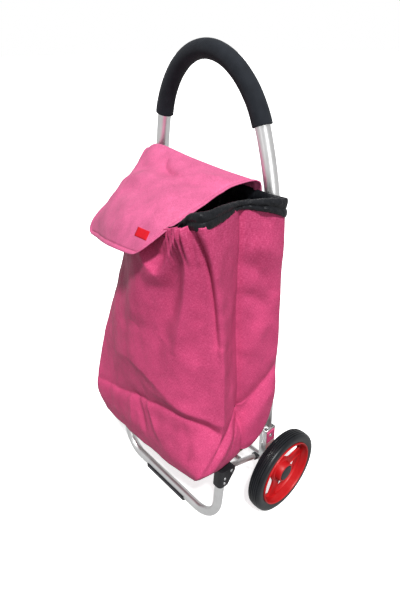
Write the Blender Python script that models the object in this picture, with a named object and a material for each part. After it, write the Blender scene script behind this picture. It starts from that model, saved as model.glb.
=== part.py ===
"""Folding shopping trolley: bent aluminium handle frame, two spoked wheels, folding foot, fabric bag.

Metres, +Z up. The trolley's front faces -Y and its right side is +X. The model is built around the
axle (y = 0 on the axle line) and an empty then moves it so that the whole object stands centred on
the world origin.
"""
import bmesh
import bpy
from math import atan2, cos, pi, radians, sin
from mathutils import Matrix, Vector

# ---------------------------------------------------------------- driving dimensions
GAP = 0.0003                # clearance between pieces that touch
AXLE_Y = 0.0600             # moves the axle back, so that the object's box is centred on y = 0
SIDES = (("left", -1), ("right", 1))

# wheels
WHEEL_R = 0.0955
WHEEL_X = 0.2135            # middle of the tyre
TYRE_W = 0.030
TYRE_SHOULDER = ((0.003, 0.0915), (0.0055, 0.0945))     # in from the sidewall, radius
SIDEWALL_BULGE = (0.001, 0.0845)                        # out from the sidewall, radius
GROOVE = 0.0015
GROOVE_PITCH = 0.006
RIM_R = 0.0750
BARREL = ((-0.013, 0.0), (-0.013, 0.003), (0.010, 0.0038), (0.0175, 0.0025), (0.0175, 0.0))  # x, depth
SPOKES = 3
SPOKE_PHASE = radians(126)
SPOKE_HALF = (0.0125, 0.0130)  # half width at the hub and at the rim
SPOKE_INSET = -0.003
SPOKE_THICK = 0.005
HUB_R = 0.019
HUB_IN = 0.0165             # hub, inwards and outwards of the tyre's middle
HUB_OUT = 0.008
CAP_R = 0.0172
CAP_HEIGHT = 0.0075
CAP_WALL = 0.0024
BUSH_R = 0.0085
AXLE_R = 0.0045
AXLE_END = 0.0040           # the axle stands out past the hub
SPACER_R = 0.0075
NUT_R = 0.009

# handle
TUBE_R = 0.0125
TUBE_WALL = 0.0015
UPRIGHT_X = 0.163
UPRIGHT_FOOT_Z = 0.080      # lower end of the uprights
SPLAY_Z = 0.450             # the uprights start to lean inwards here
SPLAY_REACH = 0.150
SHOULDER_X = 0.1225         # half width of the arch where the grip ends
SHOULDER_Z = 0.797
SHOULDER_LEAN = radians(17)
SHOULDER_REACH = (0.090, 0.058)  # how far the curve follows that lean, down and up
ARCH_Z = 0.903              # tube centre at the top of the arch
LEAN_Z = 0.680              # above this the handle leans forwards
ARCH_Y = -0.009             # and this is the top of the arch
GRIP_R = 0.0165
GRIP_NOSE = 0.003
CROSSBAR_Z = 0.430
CROSSBAR_R = 0.008
CROSSBAR_WALL = 0.001

# channel brackets between the uprights, the axle and the rails
BRACKET_WALL = 0.0015
BRACKET_TOP = 0.192
BRACKET_FOOT = 0.074
BRACKET_LIP = 0.009         # how far the channel's flanges reach round the tube
EAR_R = 0.008
PIN_R = 0.002
PIN_HEAD_R = 0.004
PIN_HEAD = 0.0014

# folding foot
LEG_R = 0.00985             # foot tube
LEG_WALL = 0.0013
FOOT_Y = -0.154             # front crossbar of the foot
FOOT_Z = 0.0129
FOOT_BEND_R = 0.062
LEG_LEAN = radians(7.2)     # the foot's legs lean back towards the wheels
LEG_TO_PIVOT = 0.018        # fold pivot behind the leg's centre line
PIVOT_Z = 0.157             # height of the foot's fold pivot
PAD_HALF = 0.067            # half the pad's length along the crossbar
PAD_WALL = 0.0024
PAD_SOLE = 0.008            # half the depth of its flat underside
PAD_LIP = 0.0030            # the front lip ends this far above the tube's middle
PAD_BACK = 318              # and the pad's rear edge is at this turn round the tube, in degrees

# platform rails
RAIL_R = 0.006
RAIL_WALL = 0.001
RAIL_PIVOT_Y = -0.028       # platform's fold pivot, in front of the uprights
RAIL_TILT = radians(22)     # the rails rise towards the front
RAIL_EYE_HALF = 0.006
EYE_R = 0.0055
TUBE_START = 0.0095         # the rail's tube starts this far from either pivot
PLUG = (0.006, 0.014)       # the eyes' spigots: start and length, inside the rail
RAIL_BAR_AT = 0.046         # the rails' crossbar, back from the foot's pivot

# moulded hinges, measured back from the pivot and up from it
ELBOW_HALF = 0.0125
SLEEVE_FRONT = -0.0302
SLEEVE_BACK = -0.0066
SLEEVE_FOOT = -0.034
ELBOW_BACK = 0.0098
ELBOW_TOP = 0.0082
SLOT_HALF = RAIL_EYE_HALF + 0.0005
LEG_TOP = 0.005             # end of the leg above the pivot's level
RIVET_R = 0.0032
RIVET_HEIGHT = 0.0015
RIVET_DROPS = (("upper", 0.012), ("lower", 0.024))

# bag and lid
BAG_HALF = 0.183
BAG_BACK = -0.0150
BAG_FRONT = -0.200
BAG_BASE_Z = 0.1695
BAG_TOP_Z = 0.680
COLLAR_TOP_Z = 0.708
CLOTH = 0.003               # thickness given to soft sheets
BOARD_MARGIN = 0.004
STRAP_Z = 0.672
STRAP_HALF = 0.010
STRAP_RING = ((0.0140, -0.0147), (0.0170, 0.0), (0.0140, 0.0160))  # right half of the ring, x and y
TAB_Z = 0.172
TAB_HALF = (0.0115, 0.014)
TAB_WALL = 0.0015
STUD_R = 0.0045
STUD_HEIGHT = 0.0018
FLAP_RISE = 0.008           # the lid's seam above the collar
FLAP_FRONT_Y = BAG_FRONT - 0.009
FLAP_HEM_Z = 0.612
FLAP_REAR = (-0.155, 0.140)
FLAP_MID = (-0.148, 0.125)
FLAP_NOSE = (-0.132, 0.097)
FLAP_HEM = (-0.120, 0.080)
PATCH_X = (0.048, 0.070)
PATCH_Z = (0.634, 0.654)

# ---------------------------------------------------------------- derived points
LEG_UP = Vector((0, sin(LEG_LEAN), cos(LEG_LEAN)))
LEG_BACK = Vector((0, cos(LEG_LEAN), -sin(LEG_LEAN)))
FOOT_BAR = Vector((0, FOOT_Y, FOOT_Z))
LEG_AT_PIVOT = FOOT_BAR + LEG_UP * ((PIVOT_Z - FOOT_Z + LEG_TO_PIVOT * sin(LEG_LEAN)) / cos(LEG_LEAN))
FOOT_PIVOT = LEG_AT_PIVOT + LEG_BACK * LEG_TO_PIVOT
RAIL_LENGTH = (RAIL_PIVOT_Y - FOOT_PIVOT.y) / cos(RAIL_TILT)
RAIL_DIR = Vector((0, cos(RAIL_TILT), -sin(RAIL_TILT)))
RAIL_PIVOT = FOOT_PIVOT + RAIL_DIR * RAIL_LENGTH
AXLE = Vector((0, 0, WHEEL_R))
X_AXIS = Vector((1, 0, 0))
FLAP_HINGE = Vector((0, BAG_BACK - CLOTH / 2, COLLAR_TOP_Z + FLAP_RISE))
WEB_OUT = UPRIGHT_X + TUBE_R + GAP + BRACKET_WALL      # outer face of the brackets


# ---------------------------------------------------------------- scene and materials
def clear_scene():
    for obj in list(bpy.data.objects):
        bpy.data.objects.remove(obj, do_unlink=True)


def material(name, colour, roughness, metallic=0.0):
    mat = bpy.data.materials.get(name) or bpy.data.materials.new(name)
    mat.use_nodes = True
    shader = mat.node_tree.nodes["Principled BSDF"]
    shader.inputs["Base Color"].default_value = (*colour, 1)
    shader.inputs["Roughness"].default_value = roughness
    shader.inputs["Metallic"].default_value = metallic
    return mat


def palette():
    return {
        "aluminium": material("aluminium", (0.74, 0.74, 0.76), 0.28, 1.0),
        "steel": material("steel", (0.62, 0.62, 0.64), 0.35, 1.0),
        "foam": material("foam", (0.025, 0.027, 0.032), 0.85),
        "black_plastic": material("black_plastic", (0.012, 0.012, 0.014), 0.45),
        "tyre": material("tyre", (0.014, 0.015, 0.018), 0.55),
        "rim_plastic": material("rim_plastic", (0.62, 0.012, 0.010), 0.25),
        "pink_cloth": material("pink_cloth", (0.58, 0.06, 0.19), 0.80),
        "black_cloth": material("black_cloth", (0.015, 0.016, 0.018), 0.60),
        "label": material("label", (0.60, 0.03, 0.03), 0.60),
        "board": material("board", (0.10, 0.08, 0.06), 0.80),
    }


def empty(name, place, parent=None):
    pivot = bpy.data.objects.new(name, None)
    bpy.context.scene.collection.objects.link(pivot)
    pivot.location = place if parent is None else place - parent.location
    pivot.parent = parent
    return pivot


class Kit:
    """Turns bmeshes into named objects under their body's empty."""

    def __init__(self):
        self.mats = palette()
        self.body = None
        self.body_place = Vector()
        self.stand = empty("trolley", Vector((0, AXLE_Y, 0)))

    def start_body(self, name, pivot):
        self.body = empty(name, Vector(pivot))
        self.body.parent = self.stand
        self.body_place = Vector(pivot)

    def add(self, name, bm, mat, smooth=True):
        bmesh.ops.recalc_face_normals(bm, faces=bm.faces)
        mesh = bpy.data.meshes.new(name)
        bm.to_mesh(mesh)
        bm.free()
        mesh.materials.append(self.mats[mat])
        if smooth:
            mesh.shade_smooth()
            mesh.set_sharp_from_angle(angle=radians(35))
        obj = bpy.data.objects.new(name, mesh)
        bpy.context.scene.collection.objects.link(obj)
        obj.parent = self.body
        obj.location = -self.body_place
        return obj

    def cutter(self, bm, target, operation="DIFFERENCE"):
        """Cuts the closed shape bm out of target, or joins it on."""
        tool = self.add("cut_" + target.name, bm, "steel", smooth=False)
        tool.hide_render = True
        tool.display_type = "WIRE"
        mod = target.modifiers.new("cut", "BOOLEAN")
        mod.operation = operation
        mod.solver = "EXACT"
        mod.object = tool


# ---------------------------------------------------------------- shapes
def box(low, high):
    bm = bmesh.new()
    bmesh.ops.create_cube(bm, size=1)
    low = Vector(low)
    high = Vector(high)
    size = high - low
    for vert in bm.verts:
        vert.co = low + Vector(((vert.co[i] + 0.5) * size[i] for i in range(3)))
    return bm


def rod(start, end, radius, sides=16):
    start = Vector(start)
    end = Vector(end)
    bm = bmesh.new()
    along = end - start
    turn = along.to_track_quat("Z", "Y").to_matrix().to_4x4()
    place = Matrix.Translation((start + end) / 2) @ turn
    bmesh.ops.create_cone(bm, cap_ends=True, segments=sides, radius1=radius, radius2=radius,
                          depth=along.length, matrix=place)
    return bm


def prism(outline, origin, axis_a, axis_b, half):
    """A flat outline of (a, b) points, extruded by half to both sides along its normal."""
    normal = axis_a.cross(axis_b).normalized()
    bm = bmesh.new()
    lower = [bm.verts.new(origin + axis_a * a + axis_b * b - normal * half) for a, b in outline]
    upper = [bm.verts.new(vert.co + normal * (2 * half)) for vert in lower]
    count = len(outline)
    bm.faces.new(lower)
    bm.faces.new(list(reversed(upper)))
    for i in range(count):
        j = (i + 1) % count
        bm.faces.new((lower[i], lower[j], upper[j], upper[i]))
    return bm


def arc(radius, start_deg, end_deg, steps, centre=(0.0, 0.0)):
    angles = [radians(start_deg + (end_deg - start_deg) * i / steps) for i in range(steps + 1)]
    return [(centre[0] + radius * cos(a), centre[1] + radius * sin(a)) for a in angles]


def lathe(profile, centre, segments, axis_sign=1):
    """Turns a closed profile of (along X, radius) points about an X-parallel axis."""
    bm = bmesh.new()
    rings = []
    for along, radius in profile:
        at = Vector(centre) + X_AXIS * (along * axis_sign)
        if radius == 0:
            rings.append([bm.verts.new(at)])
            continue
        ring = []
        for k in range(segments):
            turn = 2 * pi * k / segments
            ring.append(bm.verts.new(at + Vector((0, radius * cos(turn), radius * sin(turn)))))
        rings.append(ring)
    for i, ring in enumerate(rings):
        after = rings[(i + 1) % len(rings)]
        if len(ring) == 1 and len(after) == 1:
            continue
        for k in range(segments):
            n = (k + 1) % segments
            corners = [ring[k % len(ring)], after[k % len(after)], after[n % len(after)], ring[n % len(ring)]]
            bm.faces.new(list(dict.fromkeys(corners)))
    return bm


def sweep(path, radii, bore, normal, sides=12):
    """A round tube along a planar path. radii is one radius or one for each point; bore 0 is solid."""
    if not hasattr(radii, "__len__"):
        radii = [radii] * len(path)
    bm = bmesh.new()
    normal = Vector(normal).normalized()

    def ring(at, side, radius):
        turns = [2 * pi * k / sides for k in range(sides)]
        return [bm.verts.new(at + normal * (radius * cos(t)) + side * (radius * sin(t))) for t in turns]

    outer = []
    inner = []
    for i, point in enumerate(path):
        tangent = (path[min(i + 1, len(path) - 1)] - path[max(i - 1, 0)]).normalized()
        side = tangent.cross(normal)
        outer.append(ring(point, side, radii[i]))
        if bore:
            inner.append(ring(point, side, bore))
    for rings in (outer, inner):
        for a, b in zip(rings, rings[1:]):
            for k in range(sides):
                n = (k + 1) % sides
                bm.faces.new((a[k], a[n], b[n], b[k]))
    for end in (0, -1):
        if not bore:
            bm.faces.new(outer[end])
            continue
        for k in range(sides):
            n = (k + 1) % sides
            bm.faces.new((outer[end][k], outer[end][n], inner[end][n], inner[end][k]))
    return bm


def bezier(p0, p1, p2, p3, steps):
    points = []
    for i in range(steps + 1):
        t = i / steps
        s = 1 - t
        points.append(p0 * s ** 3 + p1 * (3 * s * s * t) + p2 * (3 * s * t * t) + p3 * t ** 3)
    return points


def mirrored(path):
    """The path from +X to the middle, continued to the same points at -X."""
    return path + [Vector((-p.x, p.y, p.z)) for p in reversed(path[:-1])]


# ---------------------------------------------------------------- frame
def arch_paths(steps_leg=6, steps_arch=8):
    """Centre line of the right half of the handle, from the shoulder down and from it to the top."""
    shoulder = Vector((SHOULDER_X, 0, SHOULDER_Z))
    lean = Vector((sin(SHOULDER_LEAN), 0, -cos(SHOULDER_LEAN)))
    leg_top = Vector((UPRIGHT_X, 0, SPLAY_Z))
    reach_down, reach_up = SHOULDER_REACH
    top = Vector((0, 0, ARCH_Z))
    down = bezier(leg_top, leg_top + Vector((0, 0, SPLAY_REACH)), shoulder + lean * reach_down, shoulder, steps_leg)
    over = bezier(shoulder, shoulder - lean * reach_up, top + X_AXIS * reach_up, top, steps_arch)
    for point in down + over:
        point.y = ARCH_Y * (max(0, point.z - LEAN_Z) / (ARCH_Z - LEAN_Z)) ** 1.5
    return down, over


def handle(kit):
    down, over = arch_paths()
    foot = Vector((UPRIGHT_X, 0, UPRIGHT_FOOT_Z))
    path = mirrored([foot] + down[:-1] + over)
    tube = kit.add("handle_tube", sweep(path, TUBE_R, TUBE_R - TUBE_WALL, (0, 1, 0)), "aluminium")
    hole = rod((-0.2, 0, AXLE.z), (0.2, 0, AXLE.z), AXLE_R + GAP, 12)
    kit.cutter(hole, tube)
    grip_path = mirrored(over)
    for end, inner in ((0, 1), (-1, -2)):
        step = (grip_path[inner] - grip_path[end]).normalized() * GRIP_NOSE
        grip_path.insert(1 if end == 0 else len(grip_path) - 1, grip_path[end] + step)
    radii = [GRIP_R - GRIP_NOSE] + [GRIP_R] * (len(grip_path) - 2) + [GRIP_R - GRIP_NOSE]
    kit.add("foam_grip", sweep(grip_path, radii, TUBE_R + 1.5 * GAP, (0, 1, 0), 14), "foam")


def upright_crossbar(kit):
    half = UPRIGHT_X - TUBE_R - GAP
    ends = [Vector((-half, 0, CROSSBAR_Z)), Vector((half, 0, CROSSBAR_Z))]
    tube = sweep(ends, CROSSBAR_R, CROSSBAR_R - CROSSBAR_WALL, (0, 1, 0))
    kit.add("upright_crossbar", tube, "aluminium")


def axle(kit):
    reach = WHEEL_X + HUB_OUT + AXLE_END
    kit.add("axle_rod", rod((-reach, 0, AXLE.z), (reach, 0, AXLE.z), AXLE_R, 16), "steel")
    for side, sign in SIDES:
        inner = WEB_OUT + GAP
        outer = WHEEL_X - HUB_IN - GAP
        profile = [(inner, AXLE_R + GAP), (inner, SPACER_R), (outer, SPACER_R), (outer, AXLE_R + GAP)]
        kit.add(f"axle_spacer_{side}", lathe(profile, AXLE, 16, sign), "black_plastic")
        inner = WHEEL_X + HUB_OUT + GAP
        outer = reach - 0.0005
        profile = [(inner, AXLE_R + GAP), (inner, NUT_R), (outer, NUT_R), (outer, AXLE_R + GAP)]
        kit.add(f"axle_nut_{side}", lathe(profile, AXLE, 12, sign), "steel")


def axle_brackets(kit):
    """A channel that wraps the outer side of each upright, with an ear for the rail's pivot pin."""
    inside = TUBE_R + GAP
    half_depth = inside + BRACKET_WALL
    for side, sign in SIDES:
        web_in = UPRIGHT_X + inside
        ear = arc(EAR_R, -90, -270, 6, (RAIL_PIVOT.y, RAIL_PIVOT.z))
        outline = [(-half_depth, BRACKET_FOOT), (half_depth, BRACKET_FOOT), (half_depth, BRACKET_TOP),
                   (-half_depth, BRACKET_TOP), (-half_depth, RAIL_PIVOT.z + 2 * EAR_R)]
        outline += list(reversed(ear))
        outline += [(-half_depth, RAIL_PIVOT.z - 2 * EAR_R)]
        y_axis = Vector((0, 1, 0))
        z_axis = Vector((0, 0, 1))
        web = prism(outline, X_AXIS * (sign * (web_in + WEB_OUT) / 2), y_axis, z_axis, BRACKET_WALL / 2)
        bracket = kit.add(f"axle_bracket_{side}", web, "aluminium", smooth=False)
        for edge in (-1, 1):
            low = sorted((sign * (WEB_OUT - BRACKET_LIP), sign * (WEB_OUT - BRACKET_WALL / 2)))
            near = sorted((edge * inside, edge * half_depth))
            flange = box((low[0], near[0], BRACKET_FOOT), (low[1], near[1], BRACKET_TOP))
            kit.cutter(flange, bracket, "UNION")
        for y, z, radius in ((0, AXLE.z, AXLE_R), (RAIL_PIVOT.y, RAIL_PIVOT.z, PIN_R)):
            hole = rod((sign * (web_in - 0.003), y, z), (sign * (WEB_OUT + 0.003), y, z), radius + GAP, 12)
            kit.cutter(hole, bracket)


def pin(sign, y, z, inner_x, outer_x):
    """A headed pin parallel to X: shank from inner_x to outer_x, heads outside both."""
    profile = [(inner_x - PIN_HEAD, 0), (inner_x - PIN_HEAD, PIN_HEAD_R * 0.6), (inner_x, PIN_HEAD_R * 0.8),
               (inner_x, PIN_R), (outer_x, PIN_R), (outer_x, PIN_HEAD_R),
               (outer_x + PIN_HEAD, PIN_HEAD_R * 0.6), (outer_x + PIN_HEAD, 0)]
    return lathe(profile, (0, y, z), 12, sign)


def rail_pins(kit):
    """The pins that the platform's rails fold about."""
    for side, sign in SIDES:
        inner = UPRIGHT_X - RAIL_EYE_HALF - GAP
        kit.add(f"rail_pin_{side}", pin(sign, RAIL_PIVOT.y, RAIL_PIVOT.z, inner, WEB_OUT + GAP), "steel")


# ---------------------------------------------------------------- wheels
def wheel(kit, side, sign):
    kit.start_body(f"wheel_{side}", AXLE + X_AXIS * (sign * WHEEL_X))
    centre = AXLE + X_AXIS * (sign * WHEEL_X)
    half = TYRE_W / 2
    seat = RIM_R + GAP
    bulge, bulge_r = SIDEWALL_BULGE
    side_out = [(half - inset, radius) for inset, radius in reversed(TYRE_SHOULDER)]
    side_out += [(half + bulge, bulge_r), (half, seat)]
    tread = [(-x, radius) for x, radius in reversed(side_out)]
    for at in (-GROOVE_PITCH, 0.0, GROOVE_PITCH):
        tread += [(at - 0.002, WHEEL_R), (at, WHEEL_R - GROOVE), (at + 0.002, WHEEL_R)]
    tread += side_out
    kit.add(f"tyre_{side}", lathe(tread, centre, 40, sign), "tyre")

    barrel = [(x, RIM_R - depth) for x, depth in BARREL]
    rim = kit.add(f"rim_{side}", lathe(barrel, centre, 40, sign), "rim_plastic")
    hub = [(-HUB_IN, BUSH_R + GAP), (-HUB_IN, HUB_R), (HUB_OUT, HUB_R), (HUB_OUT, BUSH_R + GAP)]
    kit.cutter(lathe(hub, centre, 24, sign), rim, "UNION")
    for k in range(SPOKES):
        turn = Matrix.Rotation(2 * pi * k / SPOKES + SPOKE_PHASE, 3, "X")
        out = turn @ Vector((0, 1, 0))
        across = turn @ Vector((0, 0, 1))
        low, high = HUB_R - 0.001, RIM_R - 0.003
        outline = [(low, -SPOKE_HALF[0]), (high, -SPOKE_HALF[1]), (high, SPOKE_HALF[1]), (low, SPOKE_HALF[0])]
        spoke = prism(outline, centre + X_AXIS * (sign * SPOKE_INSET), out, across, SPOKE_THICK / 2)
        kit.cutter(spoke, rim, "UNION")

    bush = [(-HUB_IN, AXLE_R + GAP), (-HUB_IN, BUSH_R), (HUB_OUT, BUSH_R), (HUB_OUT, AXLE_R + GAP)]
    kit.add(f"hub_bush_{side}", lathe(bush, centre, 20, sign), "black_plastic")
    base = HUB_OUT + GAP
    cap = [(base, CAP_R), (base + 0.6 * CAP_HEIGHT, CAP_R), (base + 0.88 * CAP_HEIGHT, 0.76 * CAP_R),
           (base + CAP_HEIGHT, 0), (base + 0.88 * CAP_HEIGHT, 0), (base + 0.76 * CAP_HEIGHT, 0.68 * CAP_R),
           (base, CAP_R - CAP_WALL)]
    kit.add(f"hub_cap_{side}", lathe(cap, centre, 24, sign), "black_plastic")


# ---------------------------------------------------------------- folding platform and foot
def platform(kit):
    kit.start_body("platform", RAIL_PIVOT)
    up = X_AXIS.cross(RAIL_DIR)
    for side, sign in SIDES:
        x = X_AXIS * (sign * UPRIGHT_X)
        ends = [FOOT_PIVOT + x + RAIL_DIR * TUBE_START, FOOT_PIVOT + x + RAIL_DIR * (RAIL_LENGTH - TUBE_START)]
        tube = sweep(ends, RAIL_R, RAIL_R - RAIL_WALL, X_AXIS)
        kit.add(f"rail_{side}", tube, "aluminium")
        spigot = RAIL_R - RAIL_WALL - GAP
        for name, at, inward in (("rail_tongue", FOOT_PIVOT, 1), ("rail_eye", RAIL_PIVOT, -1)):
            outline = arc(EYE_R, 90, 270, 8) + [(TUBE_START - GAP, -EYE_R), (TUBE_START - GAP, EYE_R)]
            lug = prism(outline, at + x, RAIL_DIR * inward, up, RAIL_EYE_HALF)
            piece = kit.add(f"{name}_{side}", lug, "black_plastic")
            start = at + x + RAIL_DIR * (inward * PLUG[0])
            plug = rod(start, start + RAIL_DIR * (inward * PLUG[1]), spigot, 12)
            kit.cutter(plug, piece, "UNION")
            hole = rod(at + x - X_AXIS * 0.01, at + x + X_AXIS * 0.01, PIN_R + GAP, 12)
            kit.cutter(hole, piece)
    half = UPRIGHT_X - RAIL_R - GAP
    at = FOOT_PIVOT + RAIL_DIR * RAIL_BAR_AT
    bar = sweep([at - X_AXIS * half, at + X_AXIS * half], RAIL_R, RAIL_R - RAIL_WALL, up)
    kit.add("platform_crossbar", bar, "aluminium")


def foot_path(steps=7):
    """Right half of the foot's centre line, from the top of the leg to the middle of the crossbar."""
    leg_top = LEG_AT_PIVOT + LEG_UP * LEG_TOP + X_AXIS * UPRIGHT_X
    centre = FOOT_BAR + LEG_UP * FOOT_BEND_R + X_AXIS * (UPRIGHT_X - FOOT_BEND_R)
    path = [leg_top]
    for i in range(steps + 1):
        turn = radians(90) * i / steps
        path.append(centre + X_AXIS * (FOOT_BEND_R * cos(turn)) - LEG_UP * (FOOT_BEND_R * sin(turn)))
    return path + [FOOT_BAR.copy()]


def elbow(kit, side, sign):
    """Moulded hinge: a sleeve on the leg, with two cheeks behind it that hold the rail's tongue."""
    origin = FOOT_PIVOT + X_AXIS * (sign * UPRIGHT_X)
    outline = [(SLEEVE_FRONT, SLEEVE_FOOT), (SLEEVE_BACK - 0.001, SLEEVE_FOOT), (ELBOW_BACK, -0.003),
               (ELBOW_BACK, 0.003), (ELBOW_BACK - 0.0023, ELBOW_TOP), (SLEEVE_FRONT, ELBOW_TOP)]
    bm = prism(outline, origin, LEG_BACK, LEG_UP, ELBOW_HALF)
    front = [e for e in bm.edges if all(abs((v.co - origin).dot(LEG_BACK) - SLEEVE_FRONT) < 1e-5
                                        for v in e.verts)
             and abs((e.verts[0].co - e.verts[1].co).dot(LEG_UP)) > 0.01]
    bmesh.ops.bevel(bm, geom=front, offset=0.0085, segments=4, affect="EDGES", profile=0.5)
    piece = kit.add(f"elbow_{side}", bm, "black_plastic")
    leg = LEG_AT_PIVOT + X_AXIS * (sign * UPRIGHT_X)
    kit.cutter(rod(leg - LEG_UP * 0.06, leg + LEG_UP * (LEG_TOP + 0.0005), LEG_R + GAP, 16), piece)
    slot_outline = [(SLEEVE_BACK, -0.06), (0.03, -0.06), (0.03, 0.0063), (SLEEVE_BACK, 0.0063)]
    kit.cutter(prism(slot_outline, origin, LEG_BACK, LEG_UP, SLOT_HALF), piece)
    kit.cutter(rod(origin - X_AXIS * 0.02, origin + X_AXIS * 0.02, PIN_R + GAP, 12), piece)
    inner = UPRIGHT_X - ELBOW_HALF - GAP
    outer = UPRIGHT_X + ELBOW_HALF + GAP
    kit.add(f"foot_pin_{side}", pin(sign, FOOT_PIVOT.y, FOOT_PIVOT.z, inner, outer), "steel")
    for name, drop in RIVET_DROPS:
        at = LEG_AT_PIVOT - LEG_UP * drop
        head = [(outer, 0), (outer, RIVET_R), (outer + 0.55 * RIVET_HEIGHT, 0.88 * RIVET_R),
                (outer + 0.93 * RIVET_HEIGHT, 0.44 * RIVET_R), (outer + RIVET_HEIGHT, 0)]
        kit.add(f"leg_rivet_{name}_{side}", lathe(head, at, 12, sign), "steel")


def foot(kit):
    kit.start_body("foot", FOOT_PIVOT)
    tube = sweep(mirrored(foot_path()), LEG_R, LEG_R - LEG_WALL, LEG_BACK)
    kit.add("foot_tube", tube, "aluminium")
    inner = LEG_R + GAP
    outer = inner + PAD_WALL
    outline = [(PAD_SOLE + 0.0018, -0.0098), (PAD_SOLE, -FOOT_Z), (-PAD_SOLE, -FOOT_Z), (-outer, -0.007),
               (-outer, PAD_LIP)]
    outline += arc(inner, 180 - degrees_of(PAD_LIP, inner), PAD_BACK, 12)
    y_axis = Vector((0, 1, 0))
    z_axis = Vector((0, 0, 1))
    kit.add("foot_pad", prism(outline, FOOT_BAR, y_axis, z_axis, PAD_HALF), "black_plastic")
    for side, sign in SIDES:
        elbow(kit, side, sign)


def degrees_of(height, radius):
    return atan2(height, (radius ** 2 - height ** 2) ** 0.5) * 180 / pi


# ---------------------------------------------------------------- bag
def bag(kit):
    side_in = BAG_HALF - CLOTH
    base_top = BAG_BASE_Z + CLOTH
    wall_low = base_top + GAP
    front_out = BAG_FRONT - CLOTH
    panels = {
        "bag_base": ((-BAG_HALF, front_out, BAG_BASE_Z), (BAG_HALF, BAG_BACK, base_top)),
        "bag_rear": ((-BAG_HALF, BAG_BACK - CLOTH, wall_low), (BAG_HALF, BAG_BACK, BAG_TOP_Z)),
        "bag_front": ((-BAG_HALF, front_out, wall_low), (BAG_HALF, BAG_FRONT, BAG_TOP_Z)),
        "bag_side_left": ((-BAG_HALF, BAG_FRONT + GAP, wall_low),
                          (-side_in, BAG_BACK - CLOTH - GAP, BAG_TOP_Z)),
        "bag_side_right": ((side_in, BAG_FRONT + GAP, wall_low),
                           (BAG_HALF, BAG_BACK - CLOTH - GAP, BAG_TOP_Z)),
    }
    for name, (low, high) in panels.items():
        kit.add(name, box(low, high), "pink_cloth", smooth=False)
    board_low = (-side_in + BOARD_MARGIN, BAG_FRONT + BOARD_MARGIN, wall_low)
    board_high = (side_in - BOARD_MARGIN, BAG_BACK - CLOTH - BOARD_MARGIN, wall_low + CLOTH)
    kit.add("base_board", box(board_low, board_high), "board", smooth=False)
    low_z = BAG_TOP_Z + GAP
    collars = {
        "collar_rear": ((-BAG_HALF, BAG_BACK - CLOTH, low_z), (BAG_HALF, BAG_BACK, COLLAR_TOP_Z)),
        "collar_front": ((-BAG_HALF, front_out, low_z), (BAG_HALF, BAG_FRONT, COLLAR_TOP_Z)),
        "collar_left": ((-BAG_HALF, BAG_FRONT + GAP, low_z),
                        (-side_in, BAG_BACK - CLOTH - GAP, COLLAR_TOP_Z)),
        "collar_right": ((side_in, BAG_FRONT + GAP, low_z),
                         (BAG_HALF, BAG_BACK - CLOTH - GAP, COLLAR_TOP_Z)),
    }
    for name, (low, high) in collars.items():
        kit.add(name, box(low, high), "black_cloth", smooth=False)


def bag_fixings(kit):
    """Webbing loops that hang the bag's rim on the handle tube, and tabs at its lower corners."""
    down, _ = arch_paths(40)
    place = min(range(1, len(down) - 1), key=lambda i: abs(down[i].z - STRAP_Z))
    at = down[place]
    tube_run = (down[place + 1] - down[place - 1]).normalized()
    for side, sign in SIDES:
        outline = list(STRAP_RING) + [(-x, y) for x, y in reversed(STRAP_RING)]
        ring = prism(outline, Vector((at.x * sign, 0, at.z)), X_AXIS, Vector((0, 1, 0)), STRAP_HALF)
        loop = kit.add(f"hanger_loop_{side}", ring, "black_cloth", smooth=False)
        lean = Vector((tube_run.x * sign, 0, tube_run.z))
        centre = Vector((at.x * sign, 0, at.z))
        kit.cutter(rod(centre - lean * 0.03, centre + lean * 0.03, TUBE_R + 0.0008, 16), loop)
        low = sorted((sign * (WEB_OUT + GAP), sign * (WEB_OUT + GAP + TAB_WALL)))
        tab = box((low[0], -TAB_HALF[0], TAB_Z - TAB_HALF[1]), (low[1], TAB_HALF[0], TAB_Z + TAB_HALF[1]))
        kit.add(f"corner_tab_{side}", tab, "pink_cloth", smooth=False)
        face = WEB_OUT + 2 * GAP + TAB_WALL
        stud = [(face, 0), (face, STUD_R), (face + 0.55 * STUD_HEIGHT, 0.93 * STUD_R),
                (face + STUD_HEIGHT, 0.49 * STUD_R), (face + STUD_HEIGHT, 0)]
        kit.add(f"press_stud_{side}", lathe(stud, (0, -0.002, TAB_Z + 0.004), 14, sign), "steel")


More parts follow.
